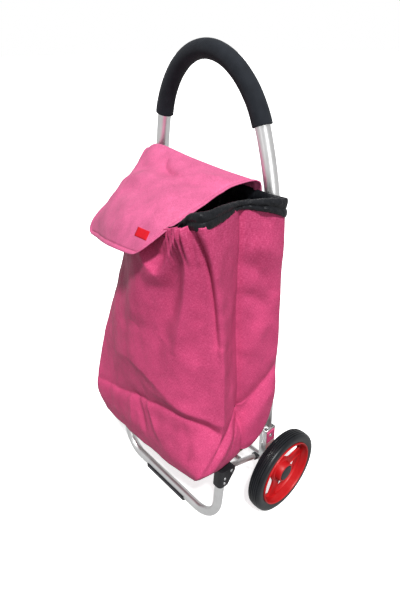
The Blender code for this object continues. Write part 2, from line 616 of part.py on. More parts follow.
def flap(kit):
    """The lid: a sheet sewn to the rear rim, over the bag's mouth and a little way down its front."""
    kit.start_body("flap", FLAP_HINGE)
    top_z = FLAP_HINGE.z
    rows = [(BAG_BACK, top_z, FLAP_REAR), (-0.110, top_z + 0.002, FLAP_MID),
            (FLAP_FRONT_Y + 0.005, top_z - 0.003, FLAP_NOSE), (FLAP_FRONT_Y, top_z - 0.012, FLAP_NOSE),
            (FLAP_FRONT_Y - 0.002, FLAP_HEM_Z, FLAP_HEM)]
    bm = bmesh.new()
    lines = []
    for i, (y, z, ends) in enumerate(rows):
        before = rows[max(i - 1, 0)]
        after = rows[min(i + 1, len(rows) - 1)]
        run = Vector((0, after[0] - before[0], after[1] - before[1])).normalized()
        outward = Vector((0, run.z, -run.y))
        low = [bm.verts.new(Vector((x, y, z))) for x in ends]
        high = [bm.verts.new(v.co + outward * CLOTH) for v in low]
        lines.append((low, high))
    for (low_a, high_a), (low_b, high_b) in zip(lines, lines[1:]):
        bm.faces.new((low_a[0], low_a[1], low_b[1], low_b[0]))
        bm.faces.new((high_a[0], high_a[1], high_b[1], high_b[0]))
        for i in (0, 1):
            bm.faces.new((low_a[i], high_a[i], high_b[i], low_b[i]))
    for low, high in (lines[0], lines[-1]):
        bm.faces.new((low[0], low[1], high[1], high[0]))
    kit.add("flap_panel", bm, "pink_cloth", smooth=False)
    face = FLAP_FRONT_Y - CLOTH - 0.0027
    patch = box((PATCH_X[0], face - 0.001, PATCH_Z[0]), (PATCH_X[1], face, PATCH_Z[1]))
    kit.add("flap_patch", patch, "label", smooth=False)


def build():
    clear_scene()
    kit = Kit()
    kit.start_body("frame", (0, 0, 0))
    handle(kit)
    upright_crossbar(kit)
    axle(kit)
    axle_brackets(kit)
    rail_pins(kit)
    bag(kit)
    bag_fixings(kit)
    for side, sign in SIDES:
        wheel(kit, side, sign)
    platform(kit)
    foot(kit)
    flap(kit)


build()
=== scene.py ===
"""Looks of the folding shopping trolley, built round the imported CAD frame.

Metres, +Z up. The trolley's front faces -Y and its right side is +X. Pieces are drawn in axle
coordinates, with y = 0 on the axle, and placed() moves them to where the frame has the axle.
"""

from math import cos, pi, radians, sin

import bmesh
import bpy
import numpy as np
from mathutils import Matrix, Vector, noise
from mathutils.geometry import tessellate_polygon


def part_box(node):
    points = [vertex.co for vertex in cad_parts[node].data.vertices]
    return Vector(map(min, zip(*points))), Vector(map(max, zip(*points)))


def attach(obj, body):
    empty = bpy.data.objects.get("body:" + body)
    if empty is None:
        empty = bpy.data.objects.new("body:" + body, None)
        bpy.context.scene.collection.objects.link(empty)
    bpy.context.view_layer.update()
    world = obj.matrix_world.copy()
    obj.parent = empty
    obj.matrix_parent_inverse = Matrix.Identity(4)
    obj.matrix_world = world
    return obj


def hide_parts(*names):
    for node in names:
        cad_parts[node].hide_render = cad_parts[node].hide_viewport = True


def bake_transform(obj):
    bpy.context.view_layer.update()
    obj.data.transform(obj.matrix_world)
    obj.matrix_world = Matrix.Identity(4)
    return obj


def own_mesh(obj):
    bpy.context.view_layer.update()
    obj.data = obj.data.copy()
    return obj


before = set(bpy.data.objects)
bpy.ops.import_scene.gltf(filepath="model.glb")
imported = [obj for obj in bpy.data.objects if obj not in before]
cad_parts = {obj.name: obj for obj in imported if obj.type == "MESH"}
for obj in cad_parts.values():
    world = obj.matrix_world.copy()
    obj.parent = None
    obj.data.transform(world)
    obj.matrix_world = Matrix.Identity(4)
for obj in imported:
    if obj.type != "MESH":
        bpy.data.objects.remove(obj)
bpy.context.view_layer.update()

# ---------------------------------------------------------------- sizes, as in the CAD model
AXLE = sum(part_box("axle_rod"), Vector()) / 2
WHEEL_X = 0.2135
WHEEL_R = 0.0955
TYRE_HALF = 0.0158
TREAD_HALF = 0.0118
TREAD_DROP = 0.0016          # how far the tread's edges fall below its crown
GROOVE_PITCH = 0.0046
GROOVE_HALF = 0.00095
GROOVE_DEPTH = 0.0020
RIM_R = 0.0750
HUB_R = 0.0190
HUB_BORE = 0.0088
CAP_R = 0.0170
SPOKES = 3
SPOKE_PHASE = radians(126)
SPOKE_HALF = 0.0115          # half the width of a spoke, between two windows
WINDOW_LOW = 0.0300
WINDOW_HIGH = 0.0690
WINDOW_CORNER = 0.0060
PLATE_R = 0.0722
PLATE_FACES = (-0.0045, -0.0020)
FRAME_WALL = 0.0014
FRAME_BACK = -0.0060
FRAME_FACE = -0.0005
TUBE_R = 0.0125
TUBE_BORE = 0.0110
UPRIGHT_X = 0.163
UPRIGHT_FOOT_Z = 0.080
SPLAY_Z = 0.450
SHOULDER_X = 0.1225
SHOULDER_Z = 0.797
SHOULDER_LEAN = radians(17)
ARCH_Z = 0.903
LEAN_Z = 0.680
ARCH_Y = -0.009
GRIP_R = 0.0167
GRIP_CROWN = 0.0016          # the foam stretches thinner over the top of the arch
GRIP_NOSE = 0.0016           # how far in from its ends the foam rounds off
CROSSBAR_R = 0.008
LEG_R = 0.00985
LEG_BORE = 0.0085
FOOT_Y = -0.154
FOOT_Z = 0.0129
FOOT_BEND_R = 0.062
LEG_LEAN = radians(7.2)
RAIL_R = 0.006
X_AXIS = Vector((1, 0, 0))

# camera: where it stands, what it looks at, its lens and the framing shift
CAMERA_AT = Vector((0.6129, -0.5739, 0.9033))
CAMERA_LOOK = Vector((0.0, 0.0, 0.4224))
CAMERA_ROLL = -0.0137
CAMERA_LENS = 27.08
CAMERA_SHIFT = (-0.0213, 0.0107)

# studio: a pale sky all round, one broad sun and soft boxes for the highlights
SKY_STRENGTH = 0.26
SKY_GLOSS = 0.62             # what shiny surfaces reflect
FLOOR_GLOW = 0.66
SUN_STRENGTH = 4.5
SUN_ANGLE = 7
SUN_FROM = (0.50, -0.36, 0.98)
SOFT_BOXES = (
    # name, place, aim, size, power
    ("front_box", (0.1, -1.9, 0.9), (0, 0, 0.40), 0.8, 1.8),
    ("right_box", (1.9, -0.5, 0.9), (0, 0, 0.40), 0.8, 6.0),
)


def placed(points):
    """Axle coordinates to frame coordinates."""
    return np.asarray(points, float) + np.array((0, AXLE.y, 0))


# ---------------------------------------------------------------- curves
def spline_rows(rows, at, closed=False):
    """Catmull-Rom through rows (count, ...) read at the fractional places `at`."""
    rows = np.asarray(rows, float)
    count = len(rows)
    base = np.floor(at).astype(int)
    if not closed:
        base = np.clip(base, 0, count - 2)
    t = (at - base).reshape((-1,) + (1,) * (rows.ndim - 1))
    if closed:
        a, b, c, d = (rows[(base + k) % count] for k in (-1, 0, 1, 2))
    else:
        b, c = rows[base], rows[base + 1]
        a = np.where(t * 0 + (base == 0).reshape(t.shape), 2 * b - c, rows[np.maximum(base - 1, 0)])
        last = (base == count - 2).reshape(t.shape)
        d = np.where(t * 0 + last, 2 * c - b, rows[np.minimum(base + 2, count - 1)])
    return 0.5 * (2 * b + (c - a) * t + (2 * a - 5 * b + 4 * c - d) * t ** 2
                  + (3 * b - a - 3 * c + d) * t ** 3)


def run_along(points):
    """Distance along a line of points, from 0 at the first."""
    steps = np.linalg.norm(np.diff(points, axis=0), axis=1)
    return np.concatenate([[0], np.cumsum(steps)])


def bezier(p0, p1, p2, p3, steps):
    points = []
    for i in range(steps + 1):
        t = i / steps
        s = 1 - t
        points.append(p0 * s ** 3 + p1 * (3 * s * s * t) + p2 * (3 * s * t * t) + p3 * t ** 3)
    return points


def mirrored(path):
    return path + [Vector((-p.x, p.y, p.z)) for p in reversed(path[:-1])]


def smooth_step(x, low, high):
    t = np.clip((x - low) / (high - low), 0, 1)
    return t * t * (3 - 2 * t)


# ---------------------------------------------------------------- meshes
def linked(name, data):
    """A new object in the scene, of a mesh, a light or a camera."""
    obj = bpy.data.objects.new(name, data)
    bpy.context.scene.collection.objects.link(obj)
    return obj


def from_bmesh(name, bm, mat, sharp=35):
    bmesh.ops.recalc_face_normals(bm, faces=bm.faces)
    mesh = bpy.data.meshes.new(name)
    bm.to_mesh(mesh)
    bm.free()
    mesh.materials.append(mat)
    mesh.shade_smooth()
    if sharp:
        mesh.set_sharp_from_angle(angle=radians(sharp))
    return linked(name, mesh)


def grid_object(name, points, mat, closed=False, flip=False):
    """A sheet from points (rows, columns, 3). Its UV map "weave" is in metres along the cloth."""
    rows, cols = points.shape[:2]
    across = cols if closed else cols - 1
    verts = placed(points).reshape(-1, 3)
    faces = []
    for i in range(rows - 1):
        for j in range(across):
            n = (j + 1) % cols
            quad = (i * cols + j, i * cols + n, (i + 1) * cols + n, (i + 1) * cols + j)
            faces.append(quad[::-1] if flip else quad)
    mesh = bpy.data.meshes.new(name)
    mesh.from_pydata([tuple(v) for v in verts], [], faces)
    mesh.materials.append(mat)
    mesh.shade_smooth()
    ring = np.concatenate([points, points[:, :1]], axis=1) if closed else points
    u = run_along(ring[rows // 2])
    v = run_along(points[:, cols // 2])
    layer = mesh.uv_layers.new(name="weave")
    uv = np.zeros((rows - 1, across, 4, 2), np.float32)
    corners = ((0, 0), (0, 1), (1, 1), (1, 0))
    for k, (di, dj) in enumerate(corners[::-1] if flip else corners):
        uv[:, :, k, 0] = u[None, dj:dj + across]
        uv[:, :, k, 1] = v[di:di + rows - 1, None]
    layer.data.foreach_set("uv", uv.ravel())
    return linked(name, mesh)


def grid_normals(points, closed=False):
    if closed:
        du = np.roll(points, -1, 1) - np.roll(points, 1, 1)
    else:
        du = np.gradient(points, axis=1)
    dv = np.gradient(points, axis=0)
    n = np.cross(du, dv)
    return n / np.maximum(np.linalg.norm(n, axis=2, keepdims=True), 1e-12)


def lathe(profile, centre, sign, segments=128):
    """Turns a closed profile of (along X, radius) points about the X axis through centre."""
    bm = bmesh.new()
    rings = []
    for along, radius in profile:
        at = Vector(centre) + X_AXIS * (along * sign)
        if radius < 1e-6:
            rings.append([bm.verts.new(at)])
            continue
        rings.append([bm.verts.new(at + Vector((0, radius * cos(a), radius * sin(a))))
                      for a in (2 * pi * k / segments for k in range(segments))])
    for i, ring in enumerate(rings):
        after = rings[(i + 1) % len(rings)]
        if len(ring) == 1 and len(after) == 1:
            continue
        for k in range(segments):
            n = (k + 1) % segments
            corners = (ring[k % len(ring)], after[k % len(after)],
                       after[n % len(after)], ring[n % len(ring)])
            bm.faces.new(list(dict.fromkeys(corners)))
    return bm


def sweep(path, radii, normal, sides=32, bore=0.0):
    """A round tube along a planar path, with flat ends. radii is one radius or one to each point."""
    if not hasattr(radii, "__len__"):
        radii = [radii] * len(path)
    bm = bmesh.new()
    normal = Vector(normal).normalized()
    turns = [2 * pi * k / sides for k in range(sides)]

    def ring(point, side, radius):
        return [bm.verts.new(point + normal * (radius * cos(t)) + side * (radius * sin(t))) for t in turns]

    outer, inner = [], []
    for i, point in enumerate(path):
        run = (path[min(i + 1, len(path) - 1)] - path[max(i - 1, 0)]).normalized()
        side = run.cross(normal)
        outer.append(ring(point, side, radii[i]))
        if bore:
            inner.append(ring(point, side, bore))
    for rings in (outer, inner):
        for a, b in zip(rings, rings[1:]):
            for k in range(sides):
                n = (k + 1) % sides
                bm.faces.new((a[k], a[n], b[n], b[k]))
    for end in (0, -1):
        if not bore:
            bm.faces.new(outer[end])
            continue
        for k in range(sides):
            n = (k + 1) % sides
            bm.faces.new((outer[end][k], outer[end][n], inner[end][n], inner[end][k]))
    return bm


def bevelled(obj, width):
    mod = obj.modifiers.new("edge", "BEVEL")
    mod.width = width
    mod.segments = 3
    mod.limit_method = "ANGLE"
    mod.angle_limit = radians(30)
    mod.harden_normals = True


def thickened(obj, thickness, offset=-1.0):
    """Gives a sheet its cloth's thickness, inwards unless offset is 1."""
    mod = obj.modifiers.new("cloth", "SOLIDIFY")
    mod.thickness = thickness
    mod.offset = offset


# ---------------------------------------------------------------- materials
THREAD = 0.00062             # pitch of the bag cloth's threads
# the yarn's dark, middle and light shades; the lid's copy is painted lighter, as painted light on its sunlit
# upper side
PINK = ((0.41, 0.036, 0.108), (0.53, 0.060, 0.165), (0.67, 0.105, 0.240))
LID_PINK_PAINTED_LIGHT = ((0.48, 0.085, 0.185), (0.61, 0.115, 0.255), (0.74, 0.165, 0.335))


class Look:
    """One node material: a Principled shader fed by small chains of texture nodes."""

    def __init__(self, name, colour, roughness=0.5, metallic=0.0, **sockets):
        self.mat = bpy.data.materials.new(name)
        self.mat.use_nodes = True
        self.tree = self.mat.node_tree
        self.shader = self.tree.nodes["Principled BSDF"]
        self.put("Base Color", (*colour, 1))
        self.put("Roughness", roughness)
        self.put("Metallic", metallic)
        for key, value in sockets.items():
            self.put(key.replace("_", " "), value)
        self.bump_normal = None

    def put(self, socket, value):
        self.shader.inputs[socket].default_value = value

    def node(self, kind, **inputs):
        made = self.tree.nodes.new("ShaderNode" + kind)
        for key, value in inputs.items():
            key = key.replace("_", " ")
            if isinstance(value, bpy.types.NodeSocket):
                self.tree.links.new(value, made.inputs[key])
            elif key in made.inputs:
                made.inputs[key].default_value = value
        return made

    def place(self, scale=(1, 1, 1), uv=None, turn=(0, 0, 0)):
        """Coordinates in metres, from the object or from a UV map, stretched by scale."""
        if uv:
            source = self.tree.nodes.new("ShaderNodeUVMap")
            source.uv_map = uv
            out = source.outputs["UV"]
        else:
            out = self.tree.nodes.new("ShaderNodeTexCoord").outputs["Object"]
        return self.node("Mapping", Vector=out, Scale=scale, Rotation=turn).outputs["Vector"]

    def noise(self, where, scale=1.0, detail=2.0, rough=0.5):
        made = self.node("TexNoise", Vector=where, Scale=scale, Detail=detail, Roughness=rough)
        return made.outputs["Fac"]

    def wave(self, where, scale, distortion=0.0, bands="X", profile="SIN"):
        made = self.node("TexWave", Vector=where, Scale=scale, Distortion=distortion)
        made.bands_direction = bands
        made.wave_profile = profile
        return made.outputs["Fac"]

    def math(self, kind, a, b):
        made = self.tree.nodes.new("ShaderNodeMath")
        made.operation = kind
        for socket, value in zip(made.inputs, (a, b)):
            if isinstance(value, bpy.types.NodeSocket):
                self.tree.links.new(value, socket)
            else:
                socket.default_value = value
        return made.outputs["Value"]

    def ramp(self, fac, stops):
        """stops: (position, colour or grey)."""
        made = self.node("ValToRGB", Fac=fac)
        ramp = made.color_ramp
        while len(ramp.elements) < len(stops):
            ramp.elements.new(0.5)
        for element, (at, colour) in zip(ramp.elements, stops):
            element.position = at
            element.color = (*colour, 1) if hasattr(colour, "__len__") else (colour,) * 3 + (1,)
        return made.outputs["Color"]

    def mix(self, fac, a, b, kind="MIX"):
        made = self.tree.nodes.new("ShaderNodeMix")
        made.data_type = "RGBA"
        made.blend_type = kind
        for socket, value in zip((made.inputs[0], made.inputs[6], made.inputs[7]), (fac, a, b)):
            if isinstance(value, bpy.types.NodeSocket):
                self.tree.links.new(value, socket)
            elif hasattr(value, "__len__"):
                socket.default_value = (*value, 1)
            else:
                socket.default_value = value
        return made.outputs[2]

    def feed(self, socket, out):
        self.tree.links.new(out, self.shader.inputs[socket])

    def vary(self, socket, fac, *stops):
        """Drives a socket through a ramp of (position, colour or grey) stops."""
        self.feed(socket, self.ramp(fac, stops))

    def bump(self, height, strength, distance):
        made = self.node("Bump", Height=height, Strength=strength, Distance=distance)
        if self.bump_normal:
            self.tree.links.new(self.bump_normal, made.inputs["Normal"])
        self.bump_normal = made.outputs["Normal"]
        self.feed("Normal", self.bump_normal)


def brushed_metal(name, colour, roughness, along=(900, 900, 25)):
    """Satin drawn metal: fine streaks along the tube, faint scuffs and handling marks."""
    look = Look(name, colour, roughness, 1.0)
    streaks = look.noise(look.place(along), 1.0, 3.0)
    scuffs = look.noise(look.place((45, 45, 45)), 1.0, 4.0, 0.6)
    look.vary("Roughness", look.mix(0.35, streaks, scuffs),
              (0.25, roughness - 0.04), (0.75, roughness + 0.05))
    dull = tuple(c * 0.93 for c in colour)
    look.vary("Base Color", scuffs, (0.35, dull), (0.62, colour))
    look.bump(streaks, 0.03, 0.0003)
    return look.mat


def foam_look():
    look = Look("foam", (0.016, 0.019, 0.024), 0.80, Specular_IOR_Level=0.12,
                Sheen_Weight=0.06, Sheen_Roughness=0.5)
    cells = look.node("TexVoronoi", Vector=look.place(), Scale=1500.0).outputs["Distance"]
    cloud = look.noise(look.place(), 60.0, 4.0)
    look.vary("Base Color", cloud, (0.3, (0.010, 0.012, 0.016)), (0.7, (0.019, 0.022, 0.028)))
    look.vary("Roughness", cloud, (0.3, 0.70), (0.7, 0.86))
    look.bump(cells, 0.35, 0.0006)
    look.bump(cloud, 0.12, 0.002)
    return look.mat


def moulded_plastic(name, colour, roughness, coat=0.0):
    """Moulded plastic: fine spark-eroded grain, cloudy gloss and rubbed marks."""
    look = Look(name, colour, roughness, Specular_IOR_Level=0.30, Coat_Weight=coat, Coat_Roughness=0.15)
    grain = look.noise(look.place(), 1800.0, 2.0)
    cloud = look.noise(look.place(), 35.0, 4.0, 0.6)
    pale_tone_and_sheen = tuple(min(1.0, c * 1.25 + 0.004) for c in colour)
    look.vary("Base Color", cloud, (0.35, colour), (0.75, pale_tone_and_sheen))
    look.vary("Roughness", cloud, (0.3, roughness - 0.06), (0.7, roughness + 0.08))
    look.bump(grain, 0.15, 0.0003)
    return look.mat


def tyre_look():
    """Solid rubber tyre: bluish black, with cloudy changes of tone and gloss and a fine grit."""
    look = Look("tyre", (0.008, 0.009, 0.012), 0.34, Specular_IOR_Level=0.30)
    cloud = look.noise(look.place(), 40.0, 5.0, 0.65)
    grit = look.noise(look.place(), 900.0, 3.0)
    look.vary("Base Color", cloud, (0.3, (0.0035, 0.004, 0.005)), (0.75, (0.008, 0.009, 0.012)))
    look.vary("Roughness", look.mix(0.4, cloud, grit), (0.3, 0.24), (0.7, 0.42))
    look.bump(grit, 0.20, 0.0004)
    return look.mat


def cloth_look(name, shades, uv="weave", rough=0.50, specular=0.09):
    """Woven two-tone polyester: single threads in both directions, each its own shade of the yarn."""
    dark, mid, light = shades
    look = Look(name, mid, rough, Specular_IOR_Level=specular)
    run = 1 / THREAD
    warp = look.noise(look.place((run, run * 0.14, run), uv), 1.0, 2.0)
    weft = look.noise(look.place((run * 0.14, run, run), uv), 1.0, 2.0)
    yarn = look.mix(0.5, warp, weft)
    blotch = look.noise(look.place((26, 26, 26), uv), 1.0, 4.0, 0.6)
    tone = look.ramp(yarn, ((0.34, dark), (0.50, mid), (0.66, light)))
    worn = look.ramp(blotch, ((0.30, 0.84), (0.70, 1.10)))
    look.feed("Base Color", look.mix(1.0, tone, worn, "MULTIPLY"))
    look.vary("Roughness", yarn, (0.3, rough - 0.10), (0.7, rough + 0.08))
    threads_u = look.wave(look.place((1, 1, 1), uv), pi / THREAD / 10, 0.3, "X")
    threads_v = look.wave(look.place((1, 1, 1), uv), pi / THREAD / 10, 0.3, "Y")
    look.bump(look.math("MULTIPLY", threads_u, threads_v), 0.25, 0.0004)
    look.bump(yarn, 0.15, 0.0004)
    return look.mat


def nylon_look(name, colour, rough=0.38):
    """Thin black nylon: tight crosswise crinkles, with a painted sheen on their crests."""
    look = Look(name, colour, rough, Specular_IOR_Level=0.22)
    crumple = look.noise(look.place((130, 130, 70)), 1.0, 5.0, 0.65)
    weave = look.noise(look.place((1600, 1600, 1600)), 1.0, 1.0)
    # painted sheen: the crinkles' crests are painted paler than their hollows
    pale_tone_and_sheen = tuple(c * 2.0 + 0.003 for c in colour)
    look.vary("Base Color", crumple, (0.35, colour), (0.75, pale_tone_and_sheen))
    look.vary("Roughness", crumple, (0.3, rough - 0.10), (0.7, rough + 0.16))
    look.bump(crumple, 0.45, 0.004)
    look.bump(weave, 0.20, 0.0004)
    return look.mat


def label_look():
    """Woven red patch, plain, with a ribbed face; the ribs' grooves are painted darker, as painted shade."""
    look = Look("label", (0.62, 0.012, 0.020), 0.7, Specular_IOR_Level=0.15)
    ribs = look.wave(look.place((1, 1, 1)), 420.0, 0.2, "Z")
    # painted shade: the ribs' grooves are painted darker than their crests
    look.vary("Base Color", ribs, (0.1, (0.50, 0.006, 0.014)), (0.9, (0.66, 0.012, 0.024)))
    look.bump(ribs, 0.25, 0.0004)
    return look.mat


def board_look():
    look = Look("board", (0.12, 0.085, 0.055), 0.8)
    fibres = look.noise(look.place((90, 700, 700)), 1.0, 4.0)
    look.vary("Base Color", fibres, (0.3, (0.085, 0.060, 0.038)), (0.7, (0.16, 0.115, 0.075)))
    look.bump(fibres, 0.2, 0.0005)
    return look.mat


def stage_look():
    look = Look("floor", (0.86, 0.86, 0.86), 0.9, Specular_IOR_Level=0.1,
                Emission_Color=(1, 1, 1, 1), Emission_Strength=FLOOR_GLOW)
    haze = look.noise(look.place((3, 3, 3)), 1.0, 3.0)
    look.vary("Base Color", haze, (0.3, 0.85), (0.7, 0.87))
    return look.mat


def looks():
    return {
        "aluminium": brushed_metal("aluminium", (0.80, 0.80, 0.80), 0.36),
        "steel": brushed_metal("steel", (0.60, 0.605, 0.615), 0.30, (300, 300, 300)),
        "foam": foam_look(),
        "black_plastic": moulded_plastic("black_plastic", (0.010, 0.010, 0.012), 0.42),
        "tyre": tyre_look(),
        "rim_plastic": moulded_plastic("rim_plastic", (0.36, 0.004, 0.006), 0.42, 0.06),
        "pink_cloth": cloth_look("pink_cloth", PINK),
        # painted light: the lid's cloth is a lighter copy of the bag's pink
        "lid_cloth_painted_light": cloth_look("lid_cloth_painted_light", LID_PINK_PAINTED_LIGHT, rough=0.54, specular=0.20),
        "tab_cloth": cloth_look("tab_cloth", PINK, uv=None),
        "black_cloth": nylon_look("black_cloth", (0.0025, 0.003, 0.0045)),
        "label": label_look(),
        "board": board_look(),
    }


LOOK = looks()


# ---------------------------------------------------------------- finishing a piece
def finish(obj, body, slot, *nodes):
    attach(obj, body)
    if nodes:
        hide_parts(*nodes)
    return obj


def flatten(obj):
    """Gives a piece of soft goods its own copy of its mesh."""
    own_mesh(obj)


# ---------------------------------------------------------------- tubes
def arch_paths(steps_leg=24, steps_arch=32):
    shoulder = Vector((SHOULDER_X, 0, SHOULDER_Z))
    lean = Vector((sin(SHOULDER_LEAN), 0, -cos(SHOULDER_LEAN)))
    leg_top = Vector((UPRIGHT_X, 0, SPLAY_Z))
    top = Vector((0, 0, ARCH_Z))
    down = bezier(leg_top, leg_top + Vector((0, 0, 0.150)), shoulder + lean * 0.090, shoulder, steps_leg)
    over = bezier(shoulder, shoulder - lean * 0.058, top + X_AXIS * 0.058, top, steps_arch)
    for point in down + over:
        point.y = ARCH_Y * (max(0, point.z - LEAN_Z) / (ARCH_Z - LEAN_Z)) ** 1.5
    return down, over


def shifted(path):
    return [p + Vector((0, AXLE.y, 0)) for p in path]


def handle():
    down, over = arch_paths()
    path = mirrored([Vector((UPRIGHT_X, 0, UPRIGHT_FOOT_Z))] + down[:-1] + over)
    tube = from_bmesh("handle_bar", sweep(shifted(path), TUBE_R, (0, 1, 0), 40, TUBE_BORE), LOOK["aluminium"])
    finish(tube, "frame", "aluminium", "handle_tube")
    arch = mirrored(over)
    run = run_along(arch)
    ends = [GRIP_NOSE * (1 - cos(pi / 2 * k / 6)) for k in range(7)]
    body = [GRIP_NOSE + (run[-1] - 2 * GRIP_NOSE) * k / 90 for k in range(1, 90)]
    path, radii = [], []
    for s in ends + body + [run[-1] - e for e in ends[::-1]]:
        i = min(max(sum(1 for r in run if r <= s) - 1, 0), len(arch) - 2)
        path.append(arch[i].lerp(arch[i + 1], (s - run[i]) / (run[i + 1] - run[i])))
        near = min(s, run[-1] - s)
        inset = 0.0 if near > GRIP_NOSE else 0.0012 * (1 - (1 - (1 - near / GRIP_NOSE) ** 2) ** 0.5)
        inset += GRIP_CROWN * (1 - (2 * s / run[-1] - 1) ** 2)
        pinch = 0.00025 * noise.noise(Vector((s * 35, 0.3, 0.7)))
        radii.append(GRIP_R - inset + pinch)
    grip = from_bmesh("grip_sleeve", sweep(shifted(path), radii, (0, 1, 0), 48, TUBE_R + 0.0003),
                      LOOK["foam"], sharp=60)
    finish(grip, "frame", "foam", "foam_grip")


def straight_tubes():
    """Tubes that run straight across: finer than the CAD facets, in the same place."""
    for name, node, body, radius in (("crossbar", "upright_crossbar", "frame", CROSSBAR_R),
                                     ("platform_bar", "platform_crossbar", "platform", RAIL_R)):
        low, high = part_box(node)
        mid = (low + high) / 2
        ends = [Vector((low.x, mid.y, mid.z)), Vector((high.x, mid.y, mid.z))]
        tube = from_bmesh(name, sweep(ends, radius, (0, 1, 0), 32), LOOK["aluminium"])
        finish(tube, body, "aluminium", node)


def foot_tube():
    leg_up = Vector((0, sin(LEG_LEAN), cos(LEG_LEAN)))
    bar = Vector((0, FOOT_Y, FOOT_Z))
    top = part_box("foot_tube")[1].z
    reach = (top - FOOT_Z) / leg_up.z - 0.0015
    centre = bar + leg_up * FOOT_BEND_R + X_AXIS * (UPRIGHT_X - FOOT_BEND_R)
    path = [bar + leg_up * reach + X_AXIS * UPRIGHT_X]
    for i in range(33):
        turn = pi / 2 * i / 32
        path.append(centre + X_AXIS * (FOOT_BEND_R * cos(turn)) - leg_up * (FOOT_BEND_R * sin(turn)))
    path.append(bar)
    leg_back = Vector((0, cos(LEG_LEAN), -sin(LEG_LEAN)))
    tube = from_bmesh("foot_bar", sweep(shifted(mirrored(path)), LEG_R, leg_back, 36, LEG_BORE),
                      LOOK["aluminium"])
    finish(tube, "foot", "aluminium", "foot_tube")


# ---------------------------------------------------------------- wheels
def tyre_profile():
    """Rounded tread with five grooves between soft shoulders, then the two sidewalls."""
    crown = []
    steps = 96
    for i in range(steps + 1):
        x = TREAD_HALF * (2 * i / steps - 1)
        radius = WHEEL_R - TREAD_DROP * (abs(x) / TREAD_HALF) ** 2.6
        for k in range(-2, 3):
            radius -= GROOVE_DEPTH * np.exp(-((x - k * GROOVE_PITCH) / GROOVE_HALF) ** 4)
        crown.append((x, float(radius)))
    side = [(0.0137, 0.0926), (0.0150, 0.0902), (0.0157, 0.0870), (TYRE_HALF, 0.0838), (0.0156, 0.0802),
            (0.0151, 0.0774), (0.0146, RIM_R + 0.0004)]
    return [(-x, r) for x, r in reversed(side)] + crown + side


def rim_barrel():
    """Drum of the rim, with a rolled lip at either edge."""
    return [(-0.0130, RIM_R), (-0.0142, RIM_R - 0.0008), (-0.0142, RIM_R - 0.0024), (-0.0130, RIM_R - 0.0030),
            (-0.0050, RIM_R - 0.0036), (0.0080, RIM_R - 0.0038), (0.0125, RIM_R - 0.0034),
            (0.0150, RIM_R - 0.0032), (0.0162, RIM_R - 0.0028), (0.0172, RIM_R - 0.0020),
            (0.0175, RIM_R - 0.0012), (0.0170, RIM_R - 0.0004), (0.0160, RIM_R)]


def window_outline(grow):
    """One window between two spokes, as (radius, turn) corners, made larger all round by grow."""
    low, high, half = WINDOW_LOW - grow, WINDOW_HIGH + grow, SPOKE_HALF - grow
    corner = WINDOW_CORNER + grow
    middle = pi / SPOKES

    def side(radius):
        return middle - np.arcsin(half / radius)

    def corners(turn):
        """The two corners on one side, from the outer arc in; turn is +1 or -1."""
        outer, inner = side(high) - corner / high * 0.25, side(low) - corner / low * 0.3
        line = [(high - corner * 0.3, outer), (high - corner, side(high - corner)),
                (low + corner, side(low + corner)), (low + corner * 0.3, inner)]
        return [(radius, turn * at) for radius, at in line]

    sweep_out = side(high) - corner / high
    sweep_in = side(low) - corner / low
    steps = 20
    outer_arc = [(high, sweep_out * (2 * k / steps - 1)) for k in range(steps + 1)]
    inner_arc = [(low, sweep_in * (1 - 2 * k / steps)) for k in range(steps + 1)]
    return outer_arc + corners(1) + inner_arc + corners(-1)[::-1]


def rim_plate(centre, sign):
    """The wheel's disc: wide windows between three broad spokes, each in a raised frame."""
    bm = bmesh.new()

    def at(x, radius, turn):
        return centre + Vector((sign * x, radius * cos(turn), radius * sin(turn)))

    def strip(outlines):
        """Joins closed outlines of (x, radius, turn) one after the other."""
        rings = [[bm.verts.new(at(*p)) for p in line] for line in outlines]
        for a, b in zip(rings, rings[1:]):
            for k in range(len(a)):
                n = (k + 1) % len(a)
                bm.faces.new((a[k], a[n], b[n], b[k]))

    mids = [SPOKE_PHASE + 2 * pi * (k + 0.5) / SPOKES for k in range(SPOKES)]
    whole = [(PLATE_R, 2 * pi * k / 120) for k in range(120)]
    for x in PLATE_FACES:
        loops = [whole] + [[(r, mid + t) for r, t in window_outline(FRAME_WALL)] for mid in mids]
        flat = [[Vector((r * cos(t), r * sin(t), 0)) for r, t in loop] for loop in loops]
        verts = [bm.verts.new(at(x, r, t)) for loop in loops for r, t in loop]
        for a, b, c in tessellate_polygon(flat):
            bm.faces.new((verts[a], verts[b], verts[c]))
    section = ((FRAME_WALL, FRAME_BACK), (FRAME_WALL, FRAME_FACE - 0.0006),
               (FRAME_WALL - 0.0005, FRAME_FACE), (0.0005, FRAME_FACE),
               (0.0, FRAME_FACE - 0.0006), (0.0, FRAME_BACK), (FRAME_WALL, FRAME_BACK))
    for mid in mids:
        strip([[(x, r, mid + t) for r, t in window_outline(grow)] for grow, x in section])
    return bm


